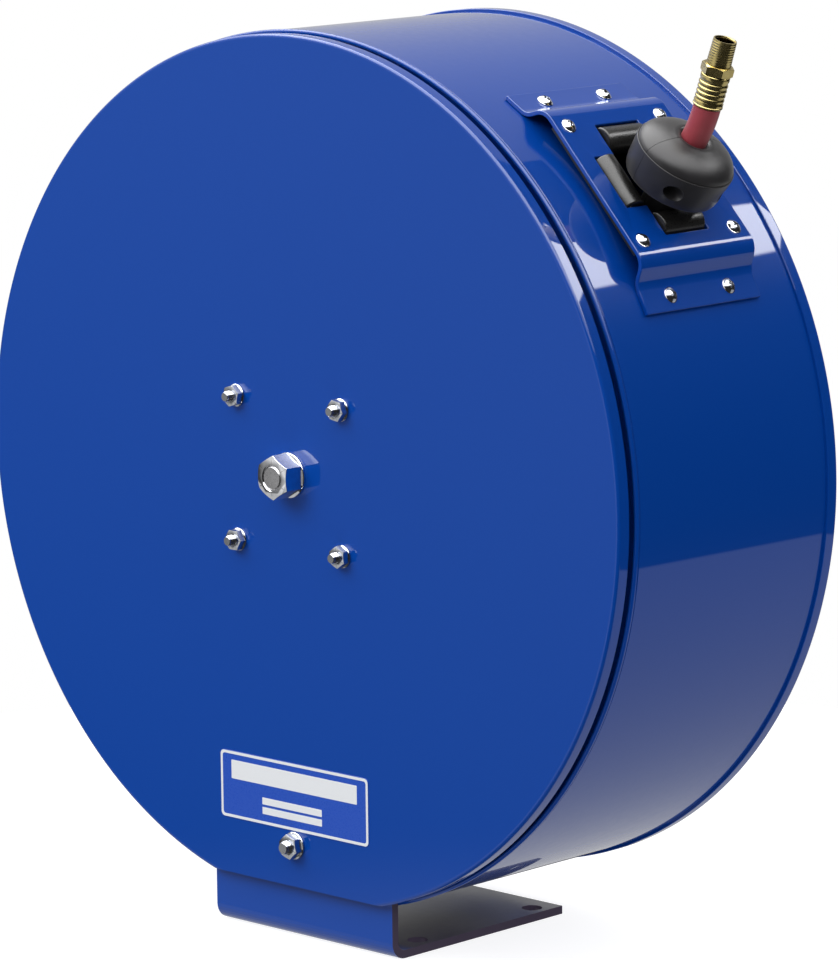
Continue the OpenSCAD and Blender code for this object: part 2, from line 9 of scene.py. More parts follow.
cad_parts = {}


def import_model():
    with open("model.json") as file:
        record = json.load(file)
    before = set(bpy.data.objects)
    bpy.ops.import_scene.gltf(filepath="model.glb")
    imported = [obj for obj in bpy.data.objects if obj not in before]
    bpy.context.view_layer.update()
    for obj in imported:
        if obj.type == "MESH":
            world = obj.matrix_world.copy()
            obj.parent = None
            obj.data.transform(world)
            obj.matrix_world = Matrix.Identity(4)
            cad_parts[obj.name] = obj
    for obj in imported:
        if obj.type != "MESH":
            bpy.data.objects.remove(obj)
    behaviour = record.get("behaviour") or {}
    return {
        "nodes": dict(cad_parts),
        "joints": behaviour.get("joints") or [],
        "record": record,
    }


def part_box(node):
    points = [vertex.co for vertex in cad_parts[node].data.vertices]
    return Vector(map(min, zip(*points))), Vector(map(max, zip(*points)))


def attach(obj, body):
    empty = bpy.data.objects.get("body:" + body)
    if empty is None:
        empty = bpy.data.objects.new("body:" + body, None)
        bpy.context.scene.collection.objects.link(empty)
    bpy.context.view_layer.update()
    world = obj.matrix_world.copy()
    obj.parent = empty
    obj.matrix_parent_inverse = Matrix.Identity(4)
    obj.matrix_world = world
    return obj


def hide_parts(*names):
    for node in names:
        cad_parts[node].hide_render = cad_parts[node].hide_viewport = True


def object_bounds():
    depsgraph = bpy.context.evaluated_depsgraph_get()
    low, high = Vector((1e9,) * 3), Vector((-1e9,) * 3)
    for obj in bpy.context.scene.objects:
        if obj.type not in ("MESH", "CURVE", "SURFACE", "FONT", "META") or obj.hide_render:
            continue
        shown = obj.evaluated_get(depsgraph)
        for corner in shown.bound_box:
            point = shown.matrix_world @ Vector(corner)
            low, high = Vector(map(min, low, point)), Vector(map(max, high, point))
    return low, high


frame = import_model()
CAD_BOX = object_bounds()
NODES = frame["nodes"]
MM = 0.001
TAU = 2 * math.pi

# ------------------------ places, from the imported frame


def joint(name):
    return next(j for j in frame["joints"] if j["name"] == name)


def basis(origin, x, y, z):
    """The matrix of a frame with these axes."""
    m = Matrix((x, y, z)).transposed().to_4x4()
    m.translation = origin
    return m


def shift(x=0.0, y=0.0, z=0.0):
    return Matrix.Translation((x, y, z))


def turn(degrees, axis):
    return Matrix.Rotation(math.radians(degrees), 4, axis)


Y, Z = Vector((0, 1, 0)), Vector((0, 0, 1))
COVER_LOW, COVER_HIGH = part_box("front_cover")
REAR_LOW, REAR_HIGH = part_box("rear_cover")
DRUM_R = (COVER_HIGH.x - COVER_LOW.x) / 2
REAR_R = (REAR_HIGH.x - REAR_LOW.x) / 2
AXLE_Z = Vector(joint("spool_spin")["pos_m"]).z
REEL = shift(0, COVER_LOW.y, AXLE_Z)          # the axle's frame, from the front face
SHEET = 1.6 * MM
DEPTH = REAR_HIGH.y - COVER_LOW.y
WALL_R = REAR_R - SHEET
NECK_R = DRUM_R - SHEET - 0.2 * MM
COVER_FLAT = 238.5 * MM                       # the front cover's straight bottom edge, below the axle
BEAD_R = 1.5 * MM
FRONT_RIM = COVER_HIGH.y - COVER_LOW.y
BEAD_Y = FRONT_RIM + 4 * MM + BEAD_R
REAR_RIM = REAR_HIGH.y - REAR_LOW.y
BASE_LOW, BASE_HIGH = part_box("mounting_base")
BASE_HALF = (BASE_HIGH.x - BASE_LOW.x) / 2

upper = Vector(joint("upper_roller_spin")["pos_m"])
lower = Vector(joint("lower_roller_spin")["pos_m"])
RIM_AXIS = (upper - lower).normalized()
OUT_AXIS = Y.cross(RIM_AXIS)
ROLLER_MID = (upper + lower) / 2
# The guide's frame: X out of the drum, Y to the back, Z up along the rim; it starts on the axle's line
GUIDE = basis(Vector((0, ROLLER_MID.y, AXLE_Z)), OUT_AXIS, Y, RIM_AXIS)
ROLLER_R = 8 * MM
ROLLER_L = 33 * MM
PLATE_V = (ROLLER_MID - GUIDE.translation).length + 4.5 * MM
TOP_SCREWS = [(y, u) for y in (-37.5 * MM, 37.5 * MM) for u in (-39.5 * MM, 39.5 * MM)]
FLANGE_TURN = 15.5
GUIDE_T = 2.5 * MM
FLANGE_V = WALL_R + GUIDE_T + 0.07 * MM

# The hose end: PULL starts under the stop, TIP where the free hose's bend ends
FERRULE_L = 19 * MM
HEX_L = 5.5 * MM
HEX_FLATS = 15.9 * MM
HOSE_R = 7.6 * MM
HOSE_BORE_R = 4.75 * MM
FREE_HOSE = 21 * MM
HOSE_INSIDE = 115 * MM
SQUEEZE = 0.92                                # how far the ferrule squeezes the hose
STOP_R = 29 * MM
STOP_H = 20 * MM
DOME_H = 12 * MM
STOP_TURN = -10
OUTLET = next(m for m in frame["record"]["mounts"] if m["name"] == "hose_outlet")
NPT_R = OUTLET["dims"]["r_mm"] * MM
NPT_L = OUTLET["dims"]["length_mm"] * MM
PULL_AXIS = Vector(joint("hose_pull")["axis"]).normalized()
TIP_AXIS = Vector(OUTLET["axis"]).normalized()
BEND = PULL_AXIS.angle(TIP_AXIS)
BEND_R = FREE_HOSE / BEND
BEND_START = STOP_H + DOME_H - 2 * MM
TIP_SIDE, PULL_SIDE = Y.cross(TIP_AXIS), Y.cross(PULL_AXIS)
tip_start = Vector(OUTLET["pos_m"]) - TIP_AXIS * (FERRULE_L + HEX_L + NPT_L / 2)
bend_middle = tip_start - TIP_SIDE * BEND_R
TIP = basis(tip_start, TIP_SIDE, Y, TIP_AXIS)
PULL = basis(bend_middle + PULL_SIDE * BEND_R - PULL_AXIS * BEND_START, PULL_SIDE, Y, PULL_AXIS)
STOP = PULL @ turn(STOP_TURN, "Z")
SEAT_X = 13 * MM                              # the heads of the stop's two screws, from its axis
SEAT_YS = (-17.5 * MM, 17.5 * MM)


def to_rear(y):
    """Local +Z runs to the back from depth y behind the front face."""
    return REEL @ shift(y=y) @ turn(-90, "X")


def to_front(y):
    """Local +Z stands out of the front, from depth y."""
    return REEL @ shift(y=y) @ turn(90, "X")


def outward(v, y, u, lean=0.0):
    """Local +Z stands out of the guide at height v."""
    return GUIDE @ shift(v, y, u) @ turn(-lean, "Y") @ turn(90, "Y")


def around(count, radius, start, y):
    """Places on a circle round the axle, with +Z to the back."""
    to_back = shift(x=radius, y=y) @ turn(-90, "X")
    return [REEL @ turn(start + k * 360 / count, "Y") @ to_back for k in range(count)]


# ------------------------ mesh helpers


def piece(name, bm, body, material, matrix=None, sharp=32, replaces=(), cuts=()):
    """Makes an object from a bmesh, puts it on a body and gives it a material."""
    mesh = cut_mesh(bm, cuts)
    mesh.name = name
    if matrix is not None:
        mesh.transform(matrix)
    mesh.materials.clear()
    mesh.materials.append(material)
    for face in mesh.polygons:
        face.use_smooth = True
        face.material_index = 0
    mesh.set_sharp_from_angle(angle=math.radians(sharp))
    obj = bpy.data.objects.new(name, mesh)
    bpy.context.scene.collection.objects.link(obj)
    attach(obj, body)
    if replaces:
        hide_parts(*replaces)
    return obj


def cut_mesh(bm, cuts=()):
    """A bmesh as a mesh, with other bmeshes cut out of it. All the bmeshes are used up."""
    def plain(source, name):
        bmesh.ops.recalc_face_normals(source, faces=source.faces)
        mesh = bpy.data.meshes.new(name)
        source.to_mesh(mesh)
        source.free()
        return mesh

    obj = bpy.data.objects.new("work", plain(bm, "work"))
    bpy.context.scene.collection.objects.link(obj)
    for cutter_bm in cuts:
        cutter = bpy.data.objects.new("cutter", plain(cutter_bm, "cutter"))
        bpy.context.scene.collection.objects.link(cutter)
        modifier = obj.modifiers.new("cut", "BOOLEAN")
        modifier.operation = "DIFFERENCE"
        modifier.solver = "EXACT"
        modifier.object = cutter
        done = bpy.data.meshes.new_from_object(obj.evaluated_get(bpy.context.evaluated_depsgraph_get()))
        obj.modifiers.clear()
        obj.data = done
        bpy.data.objects.remove(cutter)
    mesh = obj.data
    bpy.data.objects.remove(obj)
    return mesh


def box_mesh(low, high, matrix):
    """A block between two corners, as a bmesh for cutting."""
    bm = bmesh.new()
    bmesh.ops.create_cube(bm, size=1.0)
    scale = Matrix.Diagonal([b - a for a, b in zip(low, high)] + [1])
    middle = shift(*[(a + b) / 2 for a, b in zip(low, high)])
    bmesh.ops.transform(bm, matrix=matrix @ middle @ scale, verts=bm.verts)
    return bm


def arc(cx, cy, r, start, end, steps=8):
    """Points of an arc in a profile, angles in degrees."""
    return [(cx + r * math.cos(math.radians(start + (end - start) * k / steps)),
             cy + r * math.sin(math.radians(start + (end - start) * k / steps))) for k in range(steps + 1)]


def revolve(bm, profile, segments=96, matrix=None, start=0.0, sweep=TAU, closed=False):
    """Turns a profile of (radius, height) points about Z and adds it to bm."""
    full = abs(sweep - TAU) < 1e-9
    count = segments if full else segments + 1
    rings = []
    for r, h in profile:
        if r < 1e-9:
            rings.append([bm.verts.new((0, 0, h))] * count)
            continue
        rings.append([bm.verts.new((r * math.cos(start + sweep * k / segments),
                                    r * math.sin(start + sweep * k / segments), h)) for k in range(count)])
    pairs = list(zip(rings, rings[1:]))
    if closed:
        pairs.append((rings[-1], rings[0]))
    new = {v for ring in rings for v in ring}
    for low, high in pairs:
        for k in range(segments):
            n = (k + 1) % count
            corners = []
            for v in (low[k], low[n], high[n], high[k]):
                if v not in corners:
                    corners.append(v)
            if len(corners) > 2:
                bm.faces.new(corners)
    if matrix is not None:
        bmesh.ops.transform(bm, matrix=matrix, verts=list(new))
    return list(new)


def join_rings(bm, rings, closed=False):
    """Adds the faces between each ring of vertices and the next."""
    if closed:
        rings = rings + rings[:1]
    for a, b in zip(rings, rings[1:]):
        for k in range(len(a)):
            n = (k + 1) % len(a)
            bm.faces.new((a[k], a[n], b[n], b[k]))


def thread(bm, radius, pitch, length, depth, taper=0.0, segments=48, per_pitch=8, lead=1.0, runout=0.0):
    """A helical V thread round Z from 0 to length. It fades out over some pitches at its top and bottom."""
    rows = max(2, int(length / pitch * per_pitch))

    def point(a, h):
        phase = (h / pitch - a / TAU) % 1.0
        ridge = 1 - abs(2 * phase - 1)
        top = min(1.0, (length - h) / (lead * pitch))
        fade = min(1.0, h / (runout * pitch)) if runout else 1.0
        r = radius - taper * h - depth * fade * (1 - ridge * top)
        return (r * math.cos(a), r * math.sin(a), h)

    angles = [TAU * k / segments for k in range(segments)]
    heights = [length * k / rows for k in range(rows + 1)]
    rings = [[bm.verts.new(point(a, h)) for a in angles] for h in heights]
    join_rings(bm, rings)
    return rings


def raised_cap(bm, ring, height, shrink):
    """Closes a ring of vertices with a chamfer and a smaller face above it."""
    inner = [bm.verts.new((v.co.x * shrink, v.co.y * shrink, v.co.z + height)) for v in ring]
    join_rings(bm, [ring, inner])
    bm.faces.new(inner)


def hex_radius(flats, angle):
    """Distance to a hexagon's side at an angle, for corners at 30, 90, 150 degrees and so on."""
    a = (angle + math.pi / 6) % (math.pi / 3) - math.pi / 6
    return flats / 2 / math.cos(a)


def hex_prism(bm, flats, low, high, bore, chamfer_low=False, flange=None, segments=96, matrix=None):
    """A hexagonal nut or head with chamfered corners; it can have a bore with a lead-in, and a flange."""
    slope = math.tan(math.radians(28))
    angles = [TAU * k / segments for k in range(segments)]
    sides = [hex_radius(flats, a) for a in angles]
    drops = [max(0.0, side - flats / 2 * 0.985) * slope for side in sides]
    inset, step, lead = 0.992, 0.12 * MM, 0.7 * MM
    flat_edge = flats / 2 * 0.955
    start = set(bm.verts)
    rings = []

    def ring(radii, heights):
        """One ring of corners; a single number holds all the way round."""
        if not isinstance(radii, list):
            radii = [radii] * segments
        if not isinstance(heights, list):
            heights = [heights] * segments
        corners = zip(angles, radii, heights)
        rings.append([bm.verts.new((r * math.cos(a), r * math.sin(a), h)) for a, r, h in corners])

    if bore:
        ring(bore, low)
        ring(bore, high - lead)
        ring(bore + 0.55 * MM, high)
    else:
        ring(flats * 0.12, high)
    ring(flat_edge, high)
    ring([side * inset for side in sides], [high - drop for drop in drops])
    ring(sides, [high - drop - step for drop in drops])
    if flange:
        radius, edge, top = flange
        ring(sides, low + top)
        ring([max(side + 0.15 * MM, radius * 0.86) for side in sides], low + edge + 0.35 * MM)
        ring(radius - 0.25 * MM, low + edge)
        ring(radius, low + edge * 0.7)
        ring(radius, low + 0.15 * MM)
        ring(radius - 0.2 * MM, low)
    elif chamfer_low:
        ring(sides, [low + drop + step for drop in drops])
        ring([side * inset for side in sides], [low + drop for drop in drops])
        ring(flat_edge, low)
    else:
        ring(sides, low)
    if not bore:
        bm.faces.new(rings[0])
        bm.faces.new(rings[-1])
    join_rings(bm, rings, closed=bool(bore))
    if matrix is not None:
        bmesh.ops.transform(bm, matrix=matrix, verts=[v for v in bm.verts if v not in start])


def add_bevel(obj, width, segments, angle):
    """Rounds an object's sharp edges with a modifier, without touching its mesh."""
    bevel = obj.modifiers.new("edge_round", "BEVEL")
    bevel.width = width
    bevel.segments = segments
    bevel.limit_method = "ANGLE"
    bevel.angle_limit = math.radians(angle)
    bevel.miter_outer = "MITER_ARC"


def round_edges(node, width, segments=2, angle=40):
    """Gives a CAD node small rounded edges."""
    add_bevel(NODES[node], width, segments, angle)


# ------------------------ materials


class Nodes:
    """A short way to write a material's node tree."""

    def __init__(self, name):
        self.material = bpy.data.materials.new(name)
        self.material.use_nodes = True
        self.tree = self.material.node_tree
        self.bsdf = self.tree.nodes["Principled BSDF"]
        self.place = self.tree.nodes.new("ShaderNodeTexCoord").outputs["Object"]

    def add(self, kind, inputs=None, **settings):
        node = self.tree.nodes.new("ShaderNode" + kind)
        for key, value in settings.items():
            setattr(node, key, value)
        for key, value in (inputs or {}).items():
            self.put(node.inputs[key], value)
        return node

    def put(self, socket, value):
        if isinstance(value, bpy.types.NodeSocket):
            self.tree.links.new(value, socket)
        else:
            socket.default_value = value

    def set(self, **inputs):
        for key, value in inputs.items():
            self.put(self.bsdf.inputs[key.replace("_", " ")], value)

    def noise(self, scale, detail=3.0, rough=0.5, stretch=None):
        place = self.place
        if stretch:
            place = self.add("Mapping", {"Vector": self.place, "Scale": stretch}).outputs["Vector"]
        return self.add("TexNoise", {"Vector": place, "Scale": scale, "Detail": detail,
                                     "Roughness": rough}).outputs["Fac"]

    def ramp(self, fac, low, high, start=0.3, end=0.7):
        node = self.add("MapRange", {"Value": fac, "From Min": start, "From Max": end, "To Min": low,
                                     "To Max": high})
        return node.outputs["Result"]

    def mix(self, fac, a, b):
        node = self.add("Mix", data_type="RGBA")
        self.put(node.inputs[0], fac)
        self.put(node.inputs[6], a)
        self.put(node.inputs[7], b)
        return node.outputs[2]

    def bump(self, height, strength, distance, normal=None):
        inputs = {"Height": height, "Strength": strength, "Distance": distance}
        if normal is not None:
            inputs["Normal"] = normal
        return self.add("Bump", inputs).outputs["Normal"]

    def edges(self, start=0.52, end=0.6):
        """1 on sharp outside edges, 0 elsewhere."""
        return self.ramp(self.add("NewGeometry").outputs["Pointiness"], 0.0, 1.0, start, end)


def rgba(r, g, b):
    return (r, g, b, 1.0)


def powder_coat(name, colour, dark, coat=(0.016, 0.024)):
    """Gloss powder coat: an even colour under a smooth coat, with the faint orange peel of baked powder."""
    m = Nodes(name)
    drift = m.noise(9.0, 2.0)
    speck = m.noise(5200.0, 2.0, 0.7)
    tone = m.mix(m.ramp(drift, 0.0, 0.12), rgba(*colour), rgba(*dark))
    # The colour turns a lighter blue on sharp outside edges
    lighter_edges = m.mix(m.ramp(m.edges(0.55, 0.75), 0.0, 0.25), tone, rgba(*[c * 1.5 + 0.01 for c in colour]))
    peel = m.noise(210.0, 2.0, 0.45)
    slow = m.noise(22.0, 1.0, 0.4)
    fine = m.bump(speck, 0.01, 0.00004)
    base = m.bump(peel, 0.01, 0.00012, fine)
    m.set(Base_Color=lighter_edges, Roughness=m.ramp(peel, 0.29, 0.33), IOR=1.5, Normal=base, Coat_Weight=1.0,
          Coat_Roughness=m.ramp(slow, *coat), Coat_IOR=1.45,
          Coat_Normal=m.bump(peel, 0.004, 0.00010, m.bump(slow, 0.004, 0.0006)))
    m.set(Specular_IOR_Level=0.05)
    return m


def painted_shade_at_the_foot(m, colour, foot):
    """Painted shade: the coat's colour turns dark on the base's sheet edges that face +X and on the foot,
    behind this depth.
    """
    side = m.add("SeparateXYZ", {"Vector": m.add("NewGeometry").outputs["Normal"]}).outputs["X"]
    depth = m.add("SeparateXYZ", {"Vector": m.place}).outputs["Y"]
    # Painted shade masks: faces turned to +X, and the foot behind this depth
    shade_masks = {0: m.ramp(side, 0.0, 1.0, 0.6, 0.9), 1: m.ramp(depth, 0.0, 1.0, foot, foot + 8 * MM)}
    shade_mask = m.add("Math", shade_masks, operation="MAXIMUM").outputs[0]
    painted = m.bsdf.inputs["Base Color"].links[0].from_socket
    m.set(Base_Color=m.mix(shade_mask, painted, rgba(*colour)))
    return m


def zinc(name, colour=(0.80, 0.81, 0.82), rough=(0.14, 0.30)):
    """Bright zinc plate: a bluish-white metal with fine tumbling marks and a slightly cloudy sheen."""
    m = Nodes(name)
    cloud = m.noise(420.0, 4.0, 0.6)
    mark = m.noise(2600.0, 3.0, 0.7, (1.0, 3.0, 0.6))
    dull = rgba(colour[0] * 0.78, colour[1] * 0.8, colour[2] * 0.84)
    tone = m.mix(m.ramp(cloud, 0.0, 1.0), rgba(*colour), dull)
    m.set(Base_Color=tone, Metallic=1.0, Roughness=m.ramp(cloud, *rough), Normal=m.bump(mark, 0.12, 0.00006))
    return m.material


def brass(name, colour):
    """Turned brass: yellow metal with fine rings from the lathe, and painted shade making it darker in its
    grooves.
    """
    m = Nodes(name)
    ring = m.noise(5200.0, 2.0, 0.6, (0.15, 0.15, 1.0))
    stain = m.noise(260.0, 3.0, 0.5)
    tone = m.mix(m.ramp(stain, 0.0, 0.5), rgba(*colour), rgba(*[c * 0.72 for c in colour]))
    # Painted shade: an occlusion node darkens the colour in grooves and hollows, where shade falls
    shade = m.add("AmbientOcclusion", {"Distance": 4 * MM}, samples=6).outputs["AO"]
    tone = m.mix(m.ramp(shade, 1.0, 0.0, 0.25, 0.9), tone, rgba(0.10, 0.075, 0.025))
    m.set(Base_Color=tone, Metallic=1.0, Roughness=m.ramp(stain, 0.18, 0.28),
          Normal=m.bump(ring, 0.03, 0.00004))
    return m.material


def machined(name, colour, rough=0.3):
    """Machined or drawn steel with directional tool marks."""
    m = Nodes(name)
    lines = m.noise(1500.0, 3.0, 0.65, (1.0, 0.05, 1.0))
    cloud = m.noise(120.0, 3.0)
    tone = m.mix(m.ramp(cloud, 0.0, 0.6), rgba(*colour), rgba(*[c * 0.7 for c in colour]))
    m.set(Base_Color=tone, Metallic=1.0, Roughness=m.ramp(lines, rough * 0.8, rough * 1.3),
          Normal=m.bump(lines, 0.15, 0.00008))
    return m.material


def rubber(name, colour, light, rough=(0.42, 0.58), grain=900.0, depth=0.25):
    """Moulded rubber: matt, with a fine grain and a faint bloom."""
    m = Nodes(name)
    skin = m.noise(grain, 3.0, 0.6)
    bloom = m.noise(70.0, 3.0, 0.55)
    tone = m.mix(m.ramp(bloom, 0.0, 0.8), rgba(*colour), rgba(*light))
    m.set(Base_Color=tone, Roughness=m.ramp(bloom, rough[0], rough[1]), Normal=m.bump(skin, depth, 0.00008),
          Sheen_Weight=0.06, Sheen_Roughness=0.5)
    m.set(Specular_IOR_Level=0.38)
    return m.material


def plastic(name, colour, rough=0.32):
    """Satin moulded plastic with a fine spark-eroded grain."""
    m = Nodes(name)
    grain = m.noise(1500.0, 2.0, 0.6)
    cloud = m.noise(60.0, 2.0)
    tone = m.mix(m.ramp(cloud, 0.0, 0.5), rgba(*colour), rgba(*[c * 1.5 + 0.004 for c in colour]))
    m.set(Base_Color=tone, Roughness=m.ramp(grain, rough * 0.85, rough * 1.2),
          Normal=m.bump(grain, 0.10, 0.00005))
    return m.material


def foil(name, colour, rough=0.28):
    """Printed foil with a slight weave of ink."""
    m = Nodes(name)
    ink = m.noise(2400.0, 2.0, 0.6)
    tone = m.mix(m.ramp(ink, 0.0, 0.25), rgba(*colour), rgba(*[c * 0.8 for c in colour]))
    m.set(Base_Color=tone, Roughness=m.ramp(ink, rough * 0.9, rough * 1.15),
          Normal=m.bump(ink, 0.05, 0.00003), Coat_Weight=0.4, Coat_Roughness=0.12)
    return m.material


PAINT = (0.0006, 0.046, 0.295), (0.0005, 0.041, 0.275)
BLUE = powder_coat("blue_powder_coat", *PAINT).material
# The base's coat, with painted shade on its +X sheet edges and on the foot
BASE_BLUE_PAINTED_SHADE = painted_shade_at_the_foot(powder_coat("base_powder_coat_painted_shade", *PAINT, coat=(0.16, 0.24)),
                             (0.075, 0.058, 0.095), COVER_LOW.y + 16 * MM).material
ZINC = zinc("zinc_plate", (0.62, 0.63, 0.65), (0.10, 0.24))
BRIGHT_ZINC = zinc("bright_zinc", (0.84, 0.84, 0.85), (0.04, 0.10))
BRASS = brass("turned_brass", (0.58, 0.47, 0.19))
# Near-black brass for the lining inside the fitting's bore: painted shade
BORE_SHADE_BRASS = brass("bore_painted_shade", (0.12, 0.085, 0.03))
STEEL = machined("machined_steel", (0.52, 0.52, 0.53))
SPRING = machined("spring_steel", (0.20, 0.22, 0.26), 0.25)
IRON = machined("cast_iron", (0.18, 0.18, 0.19), 0.5)
BRONZE = machined("bearing_bronze", (0.45, 0.27, 0.12), 0.35)
ENAMEL = plastic("black_enamel", (0.02, 0.02, 0.022), 0.25)
BLACK = plastic("black_acetal", (0.012, 0.0115, 0.011), 0.30)
STOP_RUBBER = rubber("stop_rubber", (0.013, 0.0125, 0.0135), (0.020, 0.019, 0.021), (0.30, 0.42))
HOSE_RUBBER = rubber("hose_rubber", (0.235, 0.028, 0.040), (0.30, 0.045, 0.058), (0.36, 0.5), 1600.0, 0.15)
SEAL = rubber("seal_rubber", (0.012, 0.012, 0.012), (0.02, 0.02, 0.02))
LABEL_BLUE = foil("label_blue", (0.004, 0.060, 0.42))
LABEL_SILVER = foil("label_silver", (0.70, 0.72, 0.75), 0.3)

CAD_LOOKS = {
    BLUE: ["front_cover", "drum_shell", "rear_cover", "guide_bracket", "spool_front_disc", "spool_rear_disc",
           "spool_hub"],
    BASE_BLUE_PAINTED_SHADE: ["mounting_base"],
    ZINC: ["rear_cover_screws", "axle_nut", "cover_bolts", "cover_nuts", "base_bolt", "base_nut",
           "bracket_screws", "carrier_screws", "hose_stop_screws", "roller_pins", "axle_ring",
           "canister_screws", "flange_screws", "swivel_ring", "pawl_pivot"],
    STEEL: ["axle", "spring_arbor", "ratchet_wheel", "pawl", "riser_tube"],
    SPRING: ["power_spring", "pawl_spring"],
    BLACK: ["roller_carrier", "roller_upper", "roller_lower", "roller_front", "roller_rear"],
    STOP_RUBBER: ["hose_stop_outer_half", "hose_stop_inner_half"],
    HOSE_RUBBER: ["hose_end", "hose_coil"],
    SEAL: ["swivel_seal"],
    BRASS: ["hose_ferrule", "hose_fitting", "swivel_rotor", "swivel_body"],
    BRONZE: ["front_bearing", "rear_bearing"],
    ENAMEL: ["spring_canister", "spring_lid"],
    IRON: ["bearing_flange"],
    LABEL_BLUE: ["name_plate"],
}
for material, names in CAD_LOOKS.items():
    for name in names:
        slots = NODES[name].data.materials
        slots.clear()
        slots.append(material)

# ------------------------ drum

LEG_HALF = BASE_HALF + 0.5 * MM


def below_axle(half, low, high, front, back):
    """A block for cutting, between two depths below the axle."""
    return box_mesh((-half, -low, front), (half, -high, back), to_rear(0) @ turn(180, "Z"))


def leg_room(front, back):
    """The room for the base's leg, cut out of the lowest part of a rim."""
    return below_axle(LEG_HALF, DRUM_R + 5 * MM, DRUM_R - 45 * MM, front, back)


def pan_profile(radius, rim, hole, edge):
    """Section of a pressed pan from its hole round its rolled edge to its rim and back inside."""
    inner = max(edge - SHEET, 0.3 * MM)
    profile = [(hole, 0), (radius * 0.6, 0), (radius - edge - 0.4 * MM, 0)]
    profile += arc(radius - edge, edge, edge, -90, 0, 12)
    profile += [(radius, rim - 0.35 * MM), (radius - 0.35 * MM, rim), (radius - SHEET, rim)]
    return profile + arc(radius - SHEET - inner, SHEET + inner, inner, 0, -90, 8) + [(hole, SHEET)]


def drum():
    """The two covers, and the wall with its neck, groove, bead and the opening for the hose guide."""
    around_drum = 720
    leg_end = 11.3 * MM
    bm = bmesh.new()
    front = pan_profile(DRUM_R, FRONT_RIM, hole=7.5 * MM, edge=2 * MM)
    revolve(bm, front, around_drum, to_rear(0), closed=True)
    flat = below_axle(DRUM_R, DRUM_R + 5 * MM, COVER_FLAT, -MM, leg_end)
    piece("front_cover_pan", bm, "reel_frame", BLUE, cuts=[leg_room(4.8 * MM, leg_end), flat],
          replaces=["front_cover"])
    bm = bmesh.new()
    rear = pan_profile(REAR_R, REAR_RIM, hole=14 * MM, edge=1.4 * MM)
    revolve(bm, rear, around_drum, to_front(DEPTH), closed=True)
    piece("rear_cover_pan", bm, "reel_frame", BLUE, replaces=["rear_cover"])
    back = DEPTH - SHEET
    lip = 15 * MM
    # The wall laps over the neck with its rolled edge, so the groove in front of it opens under the wall
    floor_r = NECK_R - 8 * MM
    under = WALL_R - SHEET - 0.3 * MM
    end = BEAD_Y + 6 * MM
    outside = [(NECK_R - lip, SHEET), (NECK_R - 1 * MM, SHEET), (NECK_R, SHEET + 1 * MM)]
    outside += [(NECK_R, FRONT_RIM + 0.2 * MM), (floor_r, FRONT_RIM + 0.6 * MM)]
    outside += [(floor_r, end), (under, end), (under, BEAD_Y + 1 * MM)]
    outside += arc(WALL_R - 0.9 * MM, BEAD_Y, BEAD_R, -190, 80, 20)
    outside += [(WALL_R, BEAD_Y + 2.1 * MM), (WALL_R, back - 1.5 * MM), (WALL_R - 1.5 * MM, back)]
    inside = [(WALL_R - lip, back), (WALL_R - lip, back - SHEET), (WALL_R - 2 * SHEET, back - SHEET),
              (WALL_R - SHEET, back - 2 * SHEET), (WALL_R - SHEET, end + SHEET),
              (floor_r - SHEET, end + SHEET), (floor_r - SHEET, 2 * SHEET), (NECK_R - lip, 2 * SHEET)]
    bm = bmesh.new()
    revolve(bm, outside + inside, around_drum, to_rear(0), closed=True)
    opening = box_mesh((WALL_R - lip, -37 * MM, -40 * MM), (WALL_R + lip, 37 * MM, 40 * MM), GUIDE)
    piece("drum_wall", bm, "reel_frame", BLUE, cuts=[leg_room(0, leg_end), opening],
          replaces=["drum_shell"])


# ------------------------ sheet metal kept from the CAD


def sheet_metal():
    round_edges("mounting_base", 0.7 * MM, 3)
    round_edges("roller_carrier", 0.4 * MM, 2)


# ------------------------ guide bracket


def bent_line(points, radius, steps=10):
    """A line through these 2D points with every inner corner rounded, as (point, direction) pairs."""
    line = [(points[0], (points[1] - points[0]).normalized())]
    for before, corner, after in zip(points, points[1:], points[2:]):
        a, b = (corner - before).normalized(), (after - corner).normalized()
        angle = a.angle_signed(b)
        reach = radius * math.tan(abs(angle) / 2)
        side = math.copysign(1, angle)
        normal = Vector((a.y, -a.x)) * side
        centre = corner - a * reach + normal * radius
        for k in range(steps + 1):
            t = -angle * k / steps
            turned = Vector((a.x * math.cos(t) - a.y * math.sin(t), a.x * math.sin(t) + a.y * math.cos(t)))
            line.append((centre - Vector((turned.y, -turned.x)) * side * radius, turned))
    return line + [(points[-1], (points[-1] - points[-2]).normalized())]


def guide_bracket():
    """The pressed guide plate: a flat middle, and on each side two bends and a flange on the drum."""
    low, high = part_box("guide_bracket")
    wide = (high.y - low.y) / 2
    mid = GUIDE_T / 2
    a = math.radians(FLANGE_TURN)
    reach = 8.65 * MM
    along = Vector((-math.sin(a), math.cos(a)))
    flange = Vector((math.cos(a), math.sin(a))) * (FLANGE_V - 0.02 * MM - mid)
    half = [Vector((PLATE_V - mid, 52 * MM)), flange - along * reach, flange + along * reach]
    points = [Vector((p.x, -p.y)) for p in reversed(half)] + half
    line = bent_line(points, 10 * MM)
    outline = [p + Vector((d.y, -d.x)) * mid for p, d in line]
    outline += [p - Vector((d.y, -d.x)) * mid for p, d in reversed(line)]
    bm = bmesh.new()
    rings = [[bm.verts.new(GUIDE @ Vector((p.x, y, p.y))) for p in outline] for y in (-wide, wide)]
    join_rings(bm, rings)
    count = len(outline)
    for ring in rings:
        for k in range(count // 2 - 1):
            bm.faces.new((ring[k], ring[k + 1], ring[count - 2 - k], ring[count - 1 - k]))
    cuts = [box_mesh((PLATE_V - 5 * MM, -y, -u), (PLATE_V + MM, y, u), GUIDE) for y, u in
            ((33.5 * MM, 17.4 * MM), (17.4 * MM, 38 * MM))]
    obj = piece("guide_plate_pressed", bm, "reel_frame", BLUE, sharp=30, replaces=["guide_bracket"],
                cuts=cuts)
    add_bevel(obj, 0.5 * MM, 3, 50)


# ------------------------ name plate, left blank


